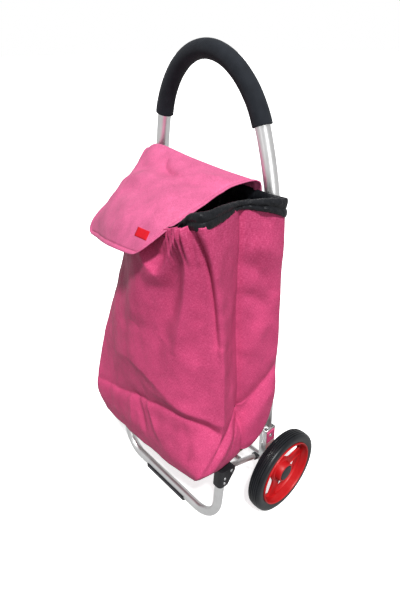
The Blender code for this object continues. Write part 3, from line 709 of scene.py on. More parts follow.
def wheel(side, sign):
    centre = Vector((sign * WHEEL_X, AXLE.y, AXLE.z))
    body = f"wheel_{side}"
    tyre = from_bmesh(f"tread_{side}", lathe(tyre_profile(), centre, sign, 160), LOOK["tyre"])
    finish(tyre, body, "tyre", f"tyre_{side}")

    hub = [(-0.0165, HUB_BORE), (-0.0165, HUB_R - 0.0015), (-0.0150, HUB_R), (-0.0060, HUB_R + 0.0010),
           (-0.0040, HUB_R + 0.0075), (-0.0004, HUB_R + 0.0072), (0.0016, HUB_R + 0.0042),
           (0.0120, HUB_R + 0.0026), (0.0134, HUB_R + 0.0018), (0.0140, HUB_R + 0.0006),
           (0.0140, CAP_R + 0.0010), (0.0132, CAP_R + 0.0006), (0.0086, CAP_R + 0.0006), (0.0080, HUB_BORE)]
    parts = (lathe(rim_barrel(), centre, sign, 160), lathe(hub, centre, sign, 96), rim_plate(centre, sign))
    whole = bmesh.new()
    for part in parts:
        scratch = bpy.data.meshes.new("part")
        bmesh.ops.recalc_face_normals(part, faces=part.faces)
        part.to_mesh(scratch)
        part.free()
        whole.from_mesh(scratch)
        bpy.data.meshes.remove(scratch)
    obj = from_bmesh(f"dish_{side}", whole, LOOK["rim_plastic"], sharp=40)
    finish(obj, body, "rim_plastic", f"rim_{side}")

    cap = [(0.0086, CAP_R), (0.0138, CAP_R), (0.0145, CAP_R - 0.0005), (0.0149, CAP_R - 0.0016),
           (0.0152, CAP_R - 0.0036), (0.0157, CAP_R * 0.52), (0.0160, CAP_R * 0.25), (0.0161, 0.0),
           (0.0086, 0.0)]
    obj = from_bmesh(f"cap_{side}", lathe(cap, centre, sign, 72), LOOK["black_plastic"], sharp=30)
    finish(obj, body, "black_plastic", f"hub_cap_{side}")


# ---------------------------------------------------------------- bag
# Heights of the bag's cross-sections, bottom edge to rim, and for each upright line of the cloth
# its (x, y) at those heights and the heights of its own bottom edge and rim.
LEVELS = (0.168, 0.205, 0.245, 0.290, 0.360, 0.450, 0.550, 0.630, 0.690)
RAILS = (
    # rear, right to left
    ("rear_r", 0.176, 0.682, ((0.150, -0.0152),) * 9),
    ("rear_mid_r", 0.172, 0.690, ((0.075, -0.0154),) * 9),
    ("rear_mid", 0.171, 0.692, ((0.0, -0.0156),) * 9),
    ("rear_mid_l", 0.172, 0.692, ((-0.075, -0.0154),) * 9),
    ("rear_l", 0.176, 0.690, ((-0.150, -0.0152),) * 9),
    # left side: the corner, a slack side, and the fold that stands out of it
    ("left_corner", 0.187, 0.686, (
        (-0.168, -0.032), (-0.176, -0.022), (-0.182, -0.014), (-0.183, -0.011), (-0.184, -0.010),
        (-0.185, -0.009), (-0.185, -0.009), (-0.184, -0.010), (-0.184, -0.012))),
    ("left_rear", 0.178, 0.676, (
        (-0.176, -0.058), (-0.183, -0.054), (-0.186, -0.050), (-0.188, -0.046), (-0.190, -0.042),
        (-0.192, -0.038), (-0.191, -0.036), (-0.187, -0.036), (-0.180, -0.038))),
    ("left_fold", 0.170, 0.664, (
        (-0.176, -0.110), (-0.186, -0.112), (-0.188, -0.110), (-0.190, -0.106), (-0.192, -0.098),
        (-0.194, -0.086), (-0.192, -0.074), (-0.184, -0.070), (-0.170, -0.072))),
    ("left_front", 0.165, 0.655, (
        (-0.175, -0.165), (-0.187, -0.165), (-0.187, -0.155), (-0.186, -0.142), (-0.183, -0.126),
        (-0.172, -0.108), (-0.152, -0.094), (-0.144, -0.094), (-0.140, -0.100))),
    ("front_l_edge", 0.163, 0.646, (
        (-0.170, -0.199), (-0.183, -0.204), (-0.182, -0.196), (-0.180, -0.182), (-0.172, -0.163),
        (-0.148, -0.142), (-0.120, -0.124), (-0.110, -0.121), (-0.106, -0.126))),
    # front, left to right
    ("front_l", 0.158, 0.640, (
        (-0.112, -0.203), (-0.116, -0.208), (-0.115, -0.205), (-0.113, -0.196), (-0.110, -0.188),
        (-0.102, -0.172), (-0.092, -0.145), (-0.086, -0.139), (-0.080, -0.141))),
    ("front_ml", 0.159, 0.643, (
        (-0.040, -0.204), (-0.040, -0.210), (-0.040, -0.209), (-0.038, -0.203), (-0.036, -0.202),
        (-0.034, -0.195), (-0.032, -0.182), (-0.032, -0.176), (-0.030, -0.168))),
    ("front_mr", 0.163, 0.652, (
        (0.042, -0.204), (0.042, -0.210), (0.042, -0.208), (0.044, -0.203), (0.046, -0.205),
        (0.046, -0.199), (0.046, -0.191), (0.044, -0.188), (0.040, -0.182))),
    ("front_r", 0.172, 0.674, (
        (0.112, -0.203), (0.116, -0.208), (0.118, -0.202), (0.118, -0.195), (0.118, -0.197),
        (0.116, -0.193), (0.114, -0.186), (0.112, -0.188), (0.108, -0.189))),
    ("front_r_in", 0.176, 0.692, (
        (0.146, -0.202), (0.156, -0.205), (0.160, -0.190), (0.160, -0.170), (0.160, -0.168),
        (0.160, -0.170), (0.158, -0.174), (0.157, -0.182), (0.156, -0.190))),
    ("front_r_edge", 0.181, 0.694, (
        (0.163, -0.195), (0.177, -0.196), (0.181, -0.170), (0.181, -0.151), (0.181, -0.149),
        (0.181, -0.150), (0.181, -0.158), (0.181, -0.169), (0.180, -0.184))),
    # right side, front to rear, with the gusset folded in
    ("right_front", 0.181, 0.697, (
        (0.172, -0.145), (0.180, -0.140), (0.180, -0.128), (0.177, -0.122), (0.175, -0.121),
        (0.175, -0.123), (0.176, -0.129), (0.177, -0.136), (0.178, -0.142))),
    ("gusset", 0.181, 0.701, (
        (0.172, -0.086), (0.175, -0.088), (0.172, -0.089), (0.168, -0.090), (0.165, -0.092),
        (0.165, -0.095), (0.167, -0.098), (0.169, -0.100), (0.172, -0.102))),
    ("right_rear", 0.182, 0.686, (
        (0.172, -0.052), (0.181, -0.050), (0.183, -0.050), (0.182, -0.050), (0.181, -0.050),
        (0.181, -0.051), (0.182, -0.052), (0.183, -0.053), (0.183, -0.056))),
    ("right_corner", 0.190, 0.672, (
        (0.166, -0.036), (0.176, -0.023), (0.182, -0.013), (0.184, -0.009), (0.185, -0.008),
        (0.185, -0.008), (0.185, -0.008), (0.185, -0.009), (0.184, -0.010))),
)

# Folds: height out of the cloth, reach on the upper (or left) and on the lower (or right) side of
# the line, how strongly it starts and ends, crispness (1 creased, 2 soft), then its line from left
# to right, as places across the face and heights.
FRONT_FOLDS = (
    # belly: a broad crest, the hollow over it and the crease above the bottom
    (0.0078, 0.046, 0.019, 0.3, 0.6, 1.2,
     ((-0.075, 0.366), (-0.020, 0.382), (0.040, 0.376), (0.100, 0.352), (0.150, 0.328), (0.178, 0.310))),
    (-0.0030, 0.020, 0.024, 0.0, 0.6, 1.6,
     ((-0.060, 0.440), (-0.010, 0.462), (0.040, 0.476), (0.080, 0.470))),
    (-0.0070, 0.014, 0.007, 0.5, 1.0, 1.1,
     ((-0.176, 0.240), (-0.090, 0.262), (-0.025, 0.284), (0.030, 0.298), (0.097, 0.312), (0.145, 0.303),
      (0.181, 0.284))),
    (0.0025, 0.012, 0.014, 0.0, 0.9, 1.3, ((0.020, 0.334), (0.080, 0.344), (0.130, 0.334), (0.180, 0.310))),
    # short wrinkles that drop from the crease
    (0.0055, 0.012, 0.007, 0.7, 0.2, 1.2, ((0.024, 0.292), (0.042, 0.262), (0.062, 0.222))),
    (-0.0055, 0.009, 0.009, 0.6, 0.2, 1.6, ((-0.012, 0.282), (0.004, 0.252), (0.012, 0.212))),
    (0.0035, 0.008, 0.010, 0.6, 0.2, 1.4, ((-0.034, 0.272), (-0.030, 0.240), (-0.036, 0.200))),
    (-0.0040, 0.012, 0.012, 0.5, 0.2, 1.6, ((0.118, 0.292), (0.132, 0.252), (0.140, 0.212))),
    # the pouch under the lid: hollow, turned-up rim, and the folds that run down from the gathers
    (0.0105, 0.0085, 0.024, 0.3, 0.8, 1.3,
     ((0.024, 0.640), (0.046, 0.612), (0.060, 0.597), (0.078, 0.590), (0.094, 0.604), (0.112, 0.636),
      (0.134, 0.670), (0.148, 0.690))),
    (-0.0075, 0.014, 0.012, 0.4, 0.9, 1.5, ((0.056, 0.640), (0.078, 0.622), (0.096, 0.646), (0.118, 0.682))),
    (0.0050, 0.006, 0.006, 0.3, 1.0, 1.5, ((0.086, 0.632), (0.102, 0.658), (0.118, 0.688))),
    (-0.0035, 0.010, 0.018, 0.2, 0.9, 1.6, ((0.050, 0.560), (0.090, 0.570), (0.116, 0.610), (0.140, 0.660))),
    (0.0115, 0.016, 0.014, 0.2, 1.0, 1.3,
     ((0.112, 0.450), (0.124, 0.510), (0.132, 0.555), (0.142, 0.610), (0.156, 0.684))),
    (-0.0090, 0.018, 0.016, 0.1, 0.7, 1.6, ((0.078, 0.470), (0.094, 0.520), (0.108, 0.565), (0.128, 0.630))),
    (-0.0070, 0.012, 0.014, 0.1, 0.6, 1.6, ((0.146, 0.440), (0.154, 0.500), (0.158, 0.560), (0.162, 0.620))),
    (-0.0145, 0.012, 0.0050, 0.5, 1.0, 1.0,
     ((0.179, 0.480), (0.1785, 0.560), (0.177, 0.610), (0.174, 0.640), (0.168, 0.672), (0.163, 0.700))),
    # slack of the upper left half
    (0.0080, 0.034, 0.034, 0.4, 0.3, 1.8, ((-0.004, 0.470), (0.012, 0.530), (0.034, 0.600))),
    (-0.0035, 0.030, 0.034, 0.2, 0.4, 1.8, ((-0.060, 0.430), (-0.052, 0.520), (-0.044, 0.620))),
    (0.0025, 0.026, 0.030, 0.2, 0.4, 1.6, ((-0.110, 0.380), (-0.100, 0.480), (-0.086, 0.600))),
)
SIDE_FOLDS = (
    (-0.0065, 0.0040, 0.0040, 1.0, 0.8, 1.0,
     ((-0.102, 0.705), (-0.098, 0.620), (-0.095, 0.500), (-0.092, 0.370), (-0.089, 0.285),
      (-0.082, 0.180))),
    (-0.0095, 0.022, 0.012, 0.9, 0.5, 1.2,
     ((-0.091, 0.268), (-0.060, 0.318), (-0.032, 0.350), (-0.003, 0.377))),
    (0.0050, 0.012, 0.022, 0.5, 0.4, 1.5, ((-0.080, 0.248), (-0.050, 0.286), (-0.020, 0.320))),
    (-0.0070, 0.016, 0.0060, 0.9, 0.9, 1.1,
     ((-0.196, 0.212), (-0.172, 0.240), (-0.144, 0.259), (-0.120, 0.276), (-0.092, 0.296))),
    (0.0045, 0.008, 0.016, 0.5, 0.4, 1.5, ((-0.184, 0.200), (-0.150, 0.234), (-0.112, 0.262))),
    (-0.0026, 0.008, 0.007, 0.6, 0.3, 1.4, ((-0.070, 0.684), (-0.056, 0.675), (-0.040, 0.662))),
    (-0.0045, 0.014, 0.012, 0.5, 0.2, 1.6,
     ((-0.088, 0.606), (-0.066, 0.588), (-0.044, 0.560), (-0.030, 0.524))),
    (0.0040, 0.016, 0.018, 0.3, 0.3, 1.6, ((-0.080, 0.636), (-0.050, 0.622), (-0.020, 0.600))),
    (-0.0040, 0.012, 0.014, 0.5, 0.3, 1.6, ((-0.086, 0.548), (-0.060, 0.530), (-0.036, 0.500))),
    (0.0035, 0.018, 0.018, 0.2, 0.2, 1.8, ((-0.074, 0.420), (-0.050, 0.470), (-0.030, 0.540))),
)
LEFT_FOLDS = (
    (0.0050, 0.0060, 0.0060, 0.6, 0.7, 1.1,
     ((-0.112, 0.190), (-0.108, 0.290), (-0.098, 0.370), (-0.084, 0.460), (-0.072, 0.560),
      (-0.070, 0.650))),
    (-0.0080, 0.014, 0.016, 0.8, 0.3, 1.3,
     ((-0.150, 0.235), (-0.095, 0.300), (-0.050, 0.360), (-0.010, 0.400))),
    (-0.0055, 0.014, 0.014, 0.3, 0.5, 1.6, ((-0.035, 0.470), (-0.030, 0.560), (-0.045, 0.650))),
)
REAR_FOLDS = (
    (-0.0040, 0.018, 0.018, 0.2, 0.2, 1.6,
     ((-0.130, 0.640), (-0.060, 0.560), (0.040, 0.520), (0.120, 0.550))),
    (-0.0035, 0.014, 0.014, 0.2, 0.2, 1.6, ((-0.120, 0.300), (-0.030, 0.260), (0.080, 0.290))),
)
RAIL_NUMBER = {rail[0]: i for i, rail in enumerate(RAILS)}
CREASE_R = 0.0012            # how tightly the cloth bends along a crease
BAG_ROWS, BAG_COLUMNS = 230, 420
BAG_MIDDLE = (0.0, -0.105)
BAG_FLOOR = 0.1700
LINING_FLOOR = 0.1790
GATHER_PITCH = 0.0125        # the drawstring's pleats
GATHER_HEIGHT = 0.0042


def fold_relief(across, height, folds):
    """How far the folds push the cloth out, for each point's place across a face and its height."""
    relief = np.zeros(across.shape)
    for rise, above, below, start, end, crisp, line in folds:
        line = spline_rows(line, np.arange(6 * (len(line) - 1) + 1) / 6)
        run = run_along(line)
        best = np.full(across.shape, 1e9)
        along = np.zeros(across.shape)
        reach = np.full(across.shape, above)
        for i, ((x0, z0), (x1, z1)) in enumerate(zip(line, line[1:])):
            step = run[i + 1] - run[i]
            t = ((across - x0) * (x1 - x0) + (height - z0) * (z1 - z0)) / max(step ** 2, 1e-12)
            t = np.clip(t, 0, 1)
            gap = np.hypot(across - x0 - t * (x1 - x0), height - z0 - t * (z1 - z0))
            near = gap < best
            along = np.where(near, (run[i] + t * step) / run[-1], along)
            over = (x1 - x0) * (height - z0) - (z1 - z0) * (across - x0) > 0
            reach = np.where(near, np.where(over, above, below), reach)
            best = np.minimum(best, gap)
        body = np.sin(pi * np.clip(along, 0, 1)) ** 0.7
        strength = np.where(along < 0.5, start + (1 - start) * body, end + (1 - end) * body)
        eased = np.sqrt(best ** 2 + CREASE_R ** 2) - CREASE_R
        relief += rise * strength * np.exp(-(eased / reach) ** crisp)
    return relief


def bag_surface(rows, cols):
    """The bag's walls, bottom edge to rim, as points (rows, cols, 3), and each column's place in RAILS."""
    table = np.zeros((len(LEVELS), len(RAILS), 3))
    for j, (_, bottom, rim, line) in enumerate(RAILS):
        heights = np.array(LEVELS)
        heights[0] = bottom
        heights[-1] = rim
        heights[1] = max(heights[1], bottom + 0.018)
        heights[-2] = min(heights[-2], rim - 0.026)
        table[:, j, :2] = line
        table[:, j, 2] = heights
    run = run_along(np.concatenate([table[5], table[5, :1]]))
    at = np.interp(np.arange(cols) / cols * run[-1], run, np.arange(len(RAILS) + 1))
    levels = np.interp(np.linspace(table[0, 0, 2], table[-1, 0, 2], rows), table[:, 0, 2],
                       np.arange(len(LEVELS)))
    walls = spline_rows(table, levels)
    walls = spline_rows(walls.transpose(1, 0, 2), at, closed=True).transpose(1, 0, 2)
    return walls, at


def facing_out(points):
    """+1 if the grid's normals point away from the bag's middle, else -1."""
    n = grid_normals(points, closed=True)
    middle = np.array((0, -0.1, 0.4))
    flat = (points - middle) * np.array((1, 1, 0))
    return 1.0 if (n * flat).sum() > 0 else -1.0


def face_share(at, first, last, soft=0.55):
    """Share of a face, from rail number first to last, in each column."""
    return smooth_step(at, first - soft, first + soft) * (1 - smooth_step(at, last - soft, last + soft))


def wrinkles(points, size, seed):
    """Small slack in the cloth, as smooth noise."""
    flat = points.reshape(-1, 3)
    slack = [noise.fractal(Vector((x / size + seed, y / size, z / size * 0.6)), 0.9, 2.1, 3)
             for x, y, z in flat]
    return np.array(slack).reshape(points.shape[:2])


def bag_points():
    walls, at = bag_surface(BAG_ROWS, BAG_COLUMNS)
    number = RAIL_NUMBER
    x, y, z = walls[..., 0], walls[..., 1], walls[..., 2]
    front = face_share(at, number["front_l_edge"], number["front_r_edge"], 0.30)
    right = face_share(at, number["front_r_edge"], number["right_corner"], 0.30)
    left = face_share(at, number["left_corner"], number["front_l_edge"], 0.30)
    rear = face_share(at, -0.2, number["rear_l"], 0.4)
    relief = fold_relief(x, z, FRONT_FOLDS) * front + fold_relief(y, z, SIDE_FOLDS) * right
    relief += fold_relief(y, z, LEFT_FOLDS) * left + fold_relief(x, z, REAR_FOLDS) * rear * 0.5
    # the drawstring's gathers: pleats below the front of the rim, dying out downwards
    gather = smooth_step(x, 0.075, 0.125) * (1 - smooth_step(x, 0.160, 0.172)) * front
    fade = smooth_step(z, 0.590, 0.690) ** 1.5
    fan = (x - 0.150) / (0.35 + 0.65 * np.clip((z - 0.45) / 0.24, 0.2, 1)) + 0.150
    relief += GATHER_HEIGHT * gather * fade * np.sin(fan * 2 * pi / GATHER_PITCH)
    # the stitched front corners stand up as crisp ridges
    for corner in ("front_l_edge", "front_r_edge"):
        relief += 0.0040 * np.exp(-np.abs(at - number[corner]) / 0.16) * smooth_step(z, 0.19, 0.26)
    slack = wrinkles(walls, 0.085, 3.1) * 0.0034 + wrinkles(walls, 0.030, 8.4) * 0.0003
    relief += slack * (0.35 + 0.65 * (front + right + left))
    n = grid_normals(walls, closed=True) * facing_out(walls)
    relief = np.where(rear > 0.5, np.minimum(relief, 0.0005), relief)     # clear of the uprights
    return walls + n * relief[..., None]


def base_rings(edge, count, floor_z):
    """The bottom: rings from the walls' lower edge in to the middle, level on the platform."""
    centre = np.array((*BAG_MIDDLE, floor_z))
    rings = []
    for k in range(1, count + 1):
        t = k / count
        ring = edge + (centre - edge) * t ** 0.9
        ring[:, 2] = edge[:, 2] + (floor_z - edge[:, 2]) * smooth_step(np.full(len(edge), t), 0.0, 0.22)
        rings.append(ring)
    return np.array(rings[::-1])


def bag():
    walls = bag_points()
    points = np.concatenate([base_rings(walls[0], 26, BAG_FLOOR), walls])
    shell = grid_object("bag_shell", points, LOOK["pink_cloth"], closed=True, flip=facing_out(walls) < 0)
    thickened(shell, 0.0012)
    finish(shell, "frame", "pink_cloth",
           "bag_front", "bag_rear", "bag_side_left", "bag_side_right", "bag_base")
    flatten(shell)


def lining():
    """Black inner skin: from under the collar down to the stiffened bottom."""
    walls, _ = bag_surface(70, 190)
    deep = 0.0045 + 0.0135 * (1 - smooth_step(walls[..., 2], 0.640, 0.690))
    centre = np.array((*BAG_MIDDLE, 0.0))
    shrink = np.stack([1 - deep / 0.184, 1 - deep / 0.095, np.ones_like(deep)], axis=-1)
    walls = centre + (walls - centre) * shrink
    crumple = wrinkles(walls, 0.035, 5.0) * 0.0035 * smooth_step(walls[..., 2], 0.30, 0.66)
    walls = walls - grid_normals(walls, closed=True) * facing_out(walls) * np.abs(crumple)[..., None]
    walls[..., 2] = np.maximum(walls[..., 2], LINING_FLOOR)
    points = np.concatenate([base_rings(walls[0], 8, LINING_FLOOR), walls])
    obj = grid_object("bag_lining", points, LOOK["black_cloth"], closed=True, flip=facing_out(walls) > 0)
    finish(obj, "frame", "black_cloth")
    flatten(obj)


# The collar follows the rim: place, lower edge and upper edge, round the same rails as the bag.
COLLAR_HEIGHTS = {
    "rear_r": (0.676, 0.700), "rear_mid_r": (0.684, 0.706), "rear_mid": (0.686, 0.708),
    "rear_mid_l": (0.686, 0.708), "rear_l": (0.684, 0.708), "left_corner": (0.676, 0.704),
    "left_rear": (0.664, 0.688), "left_fold": (0.650, 0.668), "left_front": (0.634, 0.648),
    "front_l_edge": (0.626, 0.638), "front_l": (0.626, 0.645), "front_ml": (0.630, 0.653),
    "front_mr": (0.640, 0.660), "front_r": (0.656, 0.668), "front_r_in": (0.684, 0.706),
    "front_r_edge": (0.686, 0.713), "right_front": (0.691, 0.712), "gusset": (0.697, 0.709),
    "right_rear": (0.684, 0.705), "right_corner": (0.667, 0.696),
}
COLLAR_TUCK = 0.009          # under the lid the gathered collar lies inside the rim
COLLAR_COLUMNS = 620
COLLAR_OUTSIDE = 26          # rows up the outside, then rows over the top and down inside
COLLAR_INSIDE = 12


def ripples(run, pitch, a, b):
    """Smooth noise along a line: one value for each distance in run."""
    return np.array([noise.noise(Vector((s / pitch, a, b))) for s in run])


def collar():
    """Drawstring collar: a black nylon tube round the rim, sewn into two gathered bands."""
    walls, at = bag_surface(60, COLLAR_COLUMNS)
    rim = walls[-1]
    heights = np.array([COLLAR_HEIGHTS[rail[0]] for rail in RAILS])
    bottom, top = spline_rows(heights, at, closed=True).T
    ahead = np.roll(rim, -1, 0) - np.roll(rim, 1, 0)
    ahead[:, 2] = 0
    ahead /= np.linalg.norm(ahead, axis=1, keepdims=True)
    out = np.cross(ahead, (0, 0, 1.0))
    if (out * (rim - np.array((0, -0.1, 0.7)))).sum() < 0:
        out = -out
    run = run_along(rim)
    number = RAIL_NUMBER
    tight = face_share(at, number["front_ml"], number["front_r_in"], 0.6)
    tucked = face_share(at, number["left_fold"], number["front_r"] + 0.2, 0.5)
    rear = face_share(at, -0.3, number["rear_l"], 0.3) + smooth_step(at, len(RAILS) - 0.55, len(RAILS) - 0.1)
    rear = np.clip(rear, 0, 1)
    rows = []
    for v in np.arange(COLLAR_OUTSIDE + 1) / COLLAR_OUTSIDE:
        band = abs(sin(2 * pi * v)) ** 0.8          # two puffed bands
        pleat = ripples(run, 0.0080, v * 2.2 + 4.0 * (v > 0.5), 1.7)
        fine = ripples(run, 0.0030, v * 5.0, 6.1)
        swing = ripples(run, 0.030, v * 1.5, 9.3)
        push = (0.0008 + 0.0022 * band) * (1 - 0.75 * rear)
        push += (0.0018 + 0.0020 * tight) * pleat * (0.3 + 0.7 * band) * (1 - 0.7 * rear)
        push += 0.0006 * fine * (1 - 0.6 * rear) + 0.0015 * swing * (1 - rear)
        push = np.where(rear > 0.5, np.minimum(push, 0.0006), push)     # clear of the uprights
        row = rim + out * (push - COLLAR_TUCK * tucked)[:, None]
        row[:, 2] = bottom + (top - bottom) * v + (0.0022 * swing + 0.0012 * pleat) * (1 - 0.8 * rear)
        rows.append(row)
    crown = rows[-1]
    for t in np.arange(1, COLLAR_INSIDE + 1) / COLLAR_INSIDE:
        inset = 0.0012 + 0.0062 * sin(pi / 2 * min(1, t * 2)) + 0.0016 * t * ripples(run, 0.012, 3.0 + t, 2.4)
        row = crown - out * inset[:, None]
        row[:, 2] = crown[:, 2] + 0.0014 * sin(pi * min(1, t * 3)) - 0.030 * max(0, t - 0.15)
        rows.append(row)
    obj = grid_object("collar", np.array(rows), LOOK["black_cloth"], closed=True, flip=True)
    bm = bmesh.new()
    bm.from_mesh(obj.data)
    bmesh.ops.recalc_face_normals(bm, faces=bm.faces)
    bm.to_mesh(obj.data)
    bm.free()
    thickened(obj, 0.0008)
    finish(obj, "frame", "black_cloth", "collar_front", "collar_rear", "collar_left", "collar_right")
    flatten(obj)


BOARD_MARGIN = 0.012


def board():
    """Stiffener in the bottom of the bag: a rounded panel under the lining."""
    low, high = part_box("base_board")
    size = high - low - 2 * Vector((BOARD_MARGIN, BOARD_MARGIN, 0))
    bm = bmesh.new()
    bmesh.ops.create_cube(bm, size=1)
    for vert in bm.verts:
        vert.co = (low + high) / 2 + vert.co * size
    upright = [e for e in bm.edges if abs(e.verts[0].co.z - e.verts[1].co.z) > 0.001]
    bmesh.ops.bevel(bm, geom=upright, offset=0.025, segments=8, affect="EDGES", profile=0.5)
    bmesh.ops.bevel(bm, geom=[e for e in bm.edges if e.calc_face_angle(0) > 1], offset=0.0006, segments=2,
                    affect="EDGES")
    obj = from_bmesh("stiffener", bm, LOOK["board"], sharp=40)
    finish(obj, "frame", "board", "base_board")
    flatten(obj)


# ---------------------------------------------------------------- lid
# Lines of the lid from the rear seam over its crown to the hem: left edge, three between, right edge.
LID_LINES = (
    ((-0.165, -0.0160, 0.700), (-0.162, -0.0220, 0.731), (-0.164, -0.050, 0.704), (-0.158, -0.092, 0.672),
     (-0.158, -0.132, 0.643), (-0.175, -0.155, 0.614), (-0.182, -0.167, 0.588)),
    ((-0.122, -0.0160, 0.702), (-0.118, -0.0230, 0.744), (-0.116, -0.060, 0.727), (-0.110, -0.108, 0.697),
     (-0.108, -0.148, 0.667), (-0.112, -0.172, 0.636), (-0.116, -0.186, 0.598)),
    ((-0.020, -0.0160, 0.702), (-0.020, -0.0240, 0.732), (-0.018, -0.070, 0.722), (-0.012, -0.125, 0.704),
     (-0.010, -0.170, 0.681), (-0.018, -0.196, 0.651), (-0.030, -0.213, 0.615)),
    ((0.064, -0.0160, 0.702), (0.063, -0.0250, 0.7235), (0.063, -0.070, 0.717), (0.064, -0.128, 0.701),
     (0.058, -0.176, 0.680), (0.048, -0.201, 0.653), (0.030, -0.2175, 0.621)),
    ((0.138, -0.0155, 0.695), (0.138, -0.0270, 0.7190), (0.114, -0.060, 0.711), (0.112, -0.120, 0.693),
     (0.101, -0.178, 0.671), (0.087, -0.200, 0.653), (0.059, -0.2180, 0.626)),
)
LID_PLACES = (0.0, 0.18, 0.52, 0.82, 1.0)
LID_ROUND = (0.020, 0.022)   # radius of the hem's left and right corners
PATCH_AT = (0.0545, -0.200, 0.655)
PATCH_HALF = (0.0160, 0.0075)
PATCH_COUNT = 12             # points along each side of the patch
LID_ROWS, LID_COLUMNS = 170, 150
HEM_AT, HEM_WIDTH = 0.0085, 0.0017       # the hem's stitched line, in from the edge
LID_FOLDS = (
    # as the bag's folds, but x and y, so "above" is towards the rear
    (-0.0110, 0.007, 0.016, 0.2, 0.2, 1.3,
     ((-0.062, -0.050), (-0.050, -0.068), (-0.020, -0.080), (0.016, -0.084))),
    (0.0050, 0.010, 0.026, 0.2, 0.2, 1.4,
     ((-0.090, -0.096), (-0.046, -0.106), (0.000, -0.108), (0.040, -0.096))),
    (-0.0080, 0.016, 0.018, 0.3, 0.3, 1.5, ((-0.130, -0.062), (-0.104, -0.080), (-0.060, -0.086))),
    (0.0050, 0.010, 0.014, 0.3, 0.2, 1.3, ((-0.130, -0.112), (-0.086, -0.112), (-0.040, -0.122))),
    (-0.0060, 0.014, 0.016, 0.3, 0.2, 1.5,
     ((-0.090, -0.140), (-0.046, -0.138), (0.000, -0.150), (0.024, -0.160))),
    (0.0045, 0.012, 0.020, 0.2, 0.3, 1.5, ((0.010, -0.120), (0.050, -0.142), (0.084, -0.168))),
    (0.0045, 0.014, 0.014, 0.2, 0.2, 1.5, ((0.030, -0.062), (0.066, -0.060), (0.100, -0.046))),
    (-0.0040, 0.012, 0.016, 0.3, 0.3, 1.6, ((0.010, -0.100), (0.046, -0.094), (0.080, -0.086))),
)


def lid_surface():
    lines = np.array(LID_LINES)
    run = run_along(lines[2])
    down = np.interp(np.linspace(0, run[-1], LID_ROWS), run, np.arange(lines.shape[1]))
    sheet = spline_rows(lines.transpose(1, 0, 2), down)
    width = run_along(sheet[-1])[-1]
    to_hem = run[-1] * (1 - np.arange(LID_ROWS) / (LID_ROWS - 1))
    cuts = []
    for radius in LID_ROUND:
        rise = np.clip(radius - to_hem, 0, radius)
        cuts.append((radius - np.sqrt(radius ** 2 - rise ** 2)) / width)
    rows = []
    for line, left, right in zip(sheet, *cuts):
        share = np.linspace(left, 1 - right, LID_COLUMNS)
        rows.append(spline_rows(line, np.interp(share, LID_PLACES, np.arange(len(LID_PLACES)))))
    return np.array(rows)


def lid_normals(points):
    """Normals that point up in the middle of the lid."""
    n = grid_normals(points)
    return -n if n[LID_ROWS // 2, LID_COLUMNS // 2, 2] < 0 else n


def lid():
    """The lid: a hemmed sheet sewn to the rear rim, over the mouth and down its front."""
    points = lid_surface()
    n = lid_normals(points)
    relief = fold_relief(points[..., 0], points[..., 1], LID_FOLDS) * smooth_step(n[..., 2], 0.2, 0.6)
    relief += wrinkles(points, 0.070, 12.0) * 0.0026
    relief *= smooth_step(-points[..., 1], 0.028, 0.062)
    i, j = np.arange(LID_ROWS)[:, None], np.arange(LID_COLUMNS)[None, :]
    edge = np.minimum(np.minimum(j, LID_COLUMNS - 1 - j) / LID_COLUMNS * 0.28,
                      (LID_ROWS - 1 - i) / LID_ROWS * 0.30)
    relief -= 0.0018 * np.exp(-((edge - HEM_AT) / HEM_WIDTH) ** 2)
    relief += 0.0010 * (1 - smooth_step(edge, 0.004, HEM_AT))
    points = points + n * relief[..., None]
    obj = grid_object("lid", points, LOOK["lid_cloth_painted_light"])
    bm = bmesh.new()
    bm.from_mesh(obj.data)
    middle = max(bm.faces, key=lambda f: f.calc_center_median().z)
    if middle.normal.z < 0:
        bmesh.ops.reverse_faces(bm, faces=bm.faces)
    bm.to_mesh(obj.data)
    bm.free()
    thickened(obj, 0.0018)
    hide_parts("flap_panel")
    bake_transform(obj)
    return obj, points


def lid_patch(points):
    """Plain woven patch sewn near the lid's hem."""
    n = lid_normals(points)
    gap = np.linalg.norm(points - np.array(PATCH_AT), axis=2)
    i, j = np.unravel_index(gap.argmin(), gap.shape)
    centre, up = points[i, j], n[i, j]
    across = points[i, j + 3] - points[i, j - 3]
    across /= np.linalg.norm(across)
    down = np.cross(up, across)
    cloth = points.reshape(-1, 3)
    patch = np.zeros((PATCH_COUNT, PATCH_COUNT, 3))
    for a in range(PATCH_COUNT):
        for b in range(PATCH_COUNT):
            s, t = 2 * a / (PATCH_COUNT - 1) - 1, 2 * b / (PATCH_COUNT - 1) - 1
            near = centre + across * s * PATCH_HALF[0] + down * t * PATCH_HALF[1]
            close = np.argmin(np.linalg.norm(cloth - near, axis=1))
            height = np.dot(cloth[close] - near, up)
            pressed = 0.0003 * (max(abs(s), abs(t)) > 0.8)       # its border is stitched down
            patch[a, b] = near + up * (height + 0.0009 - pressed)
    obj = grid_object("patch", patch, LOOK["label"])
    thickened(obj, 0.0008, offset=1.0)
    finish(obj, "flap", "label", "flap_patch")
    return obj


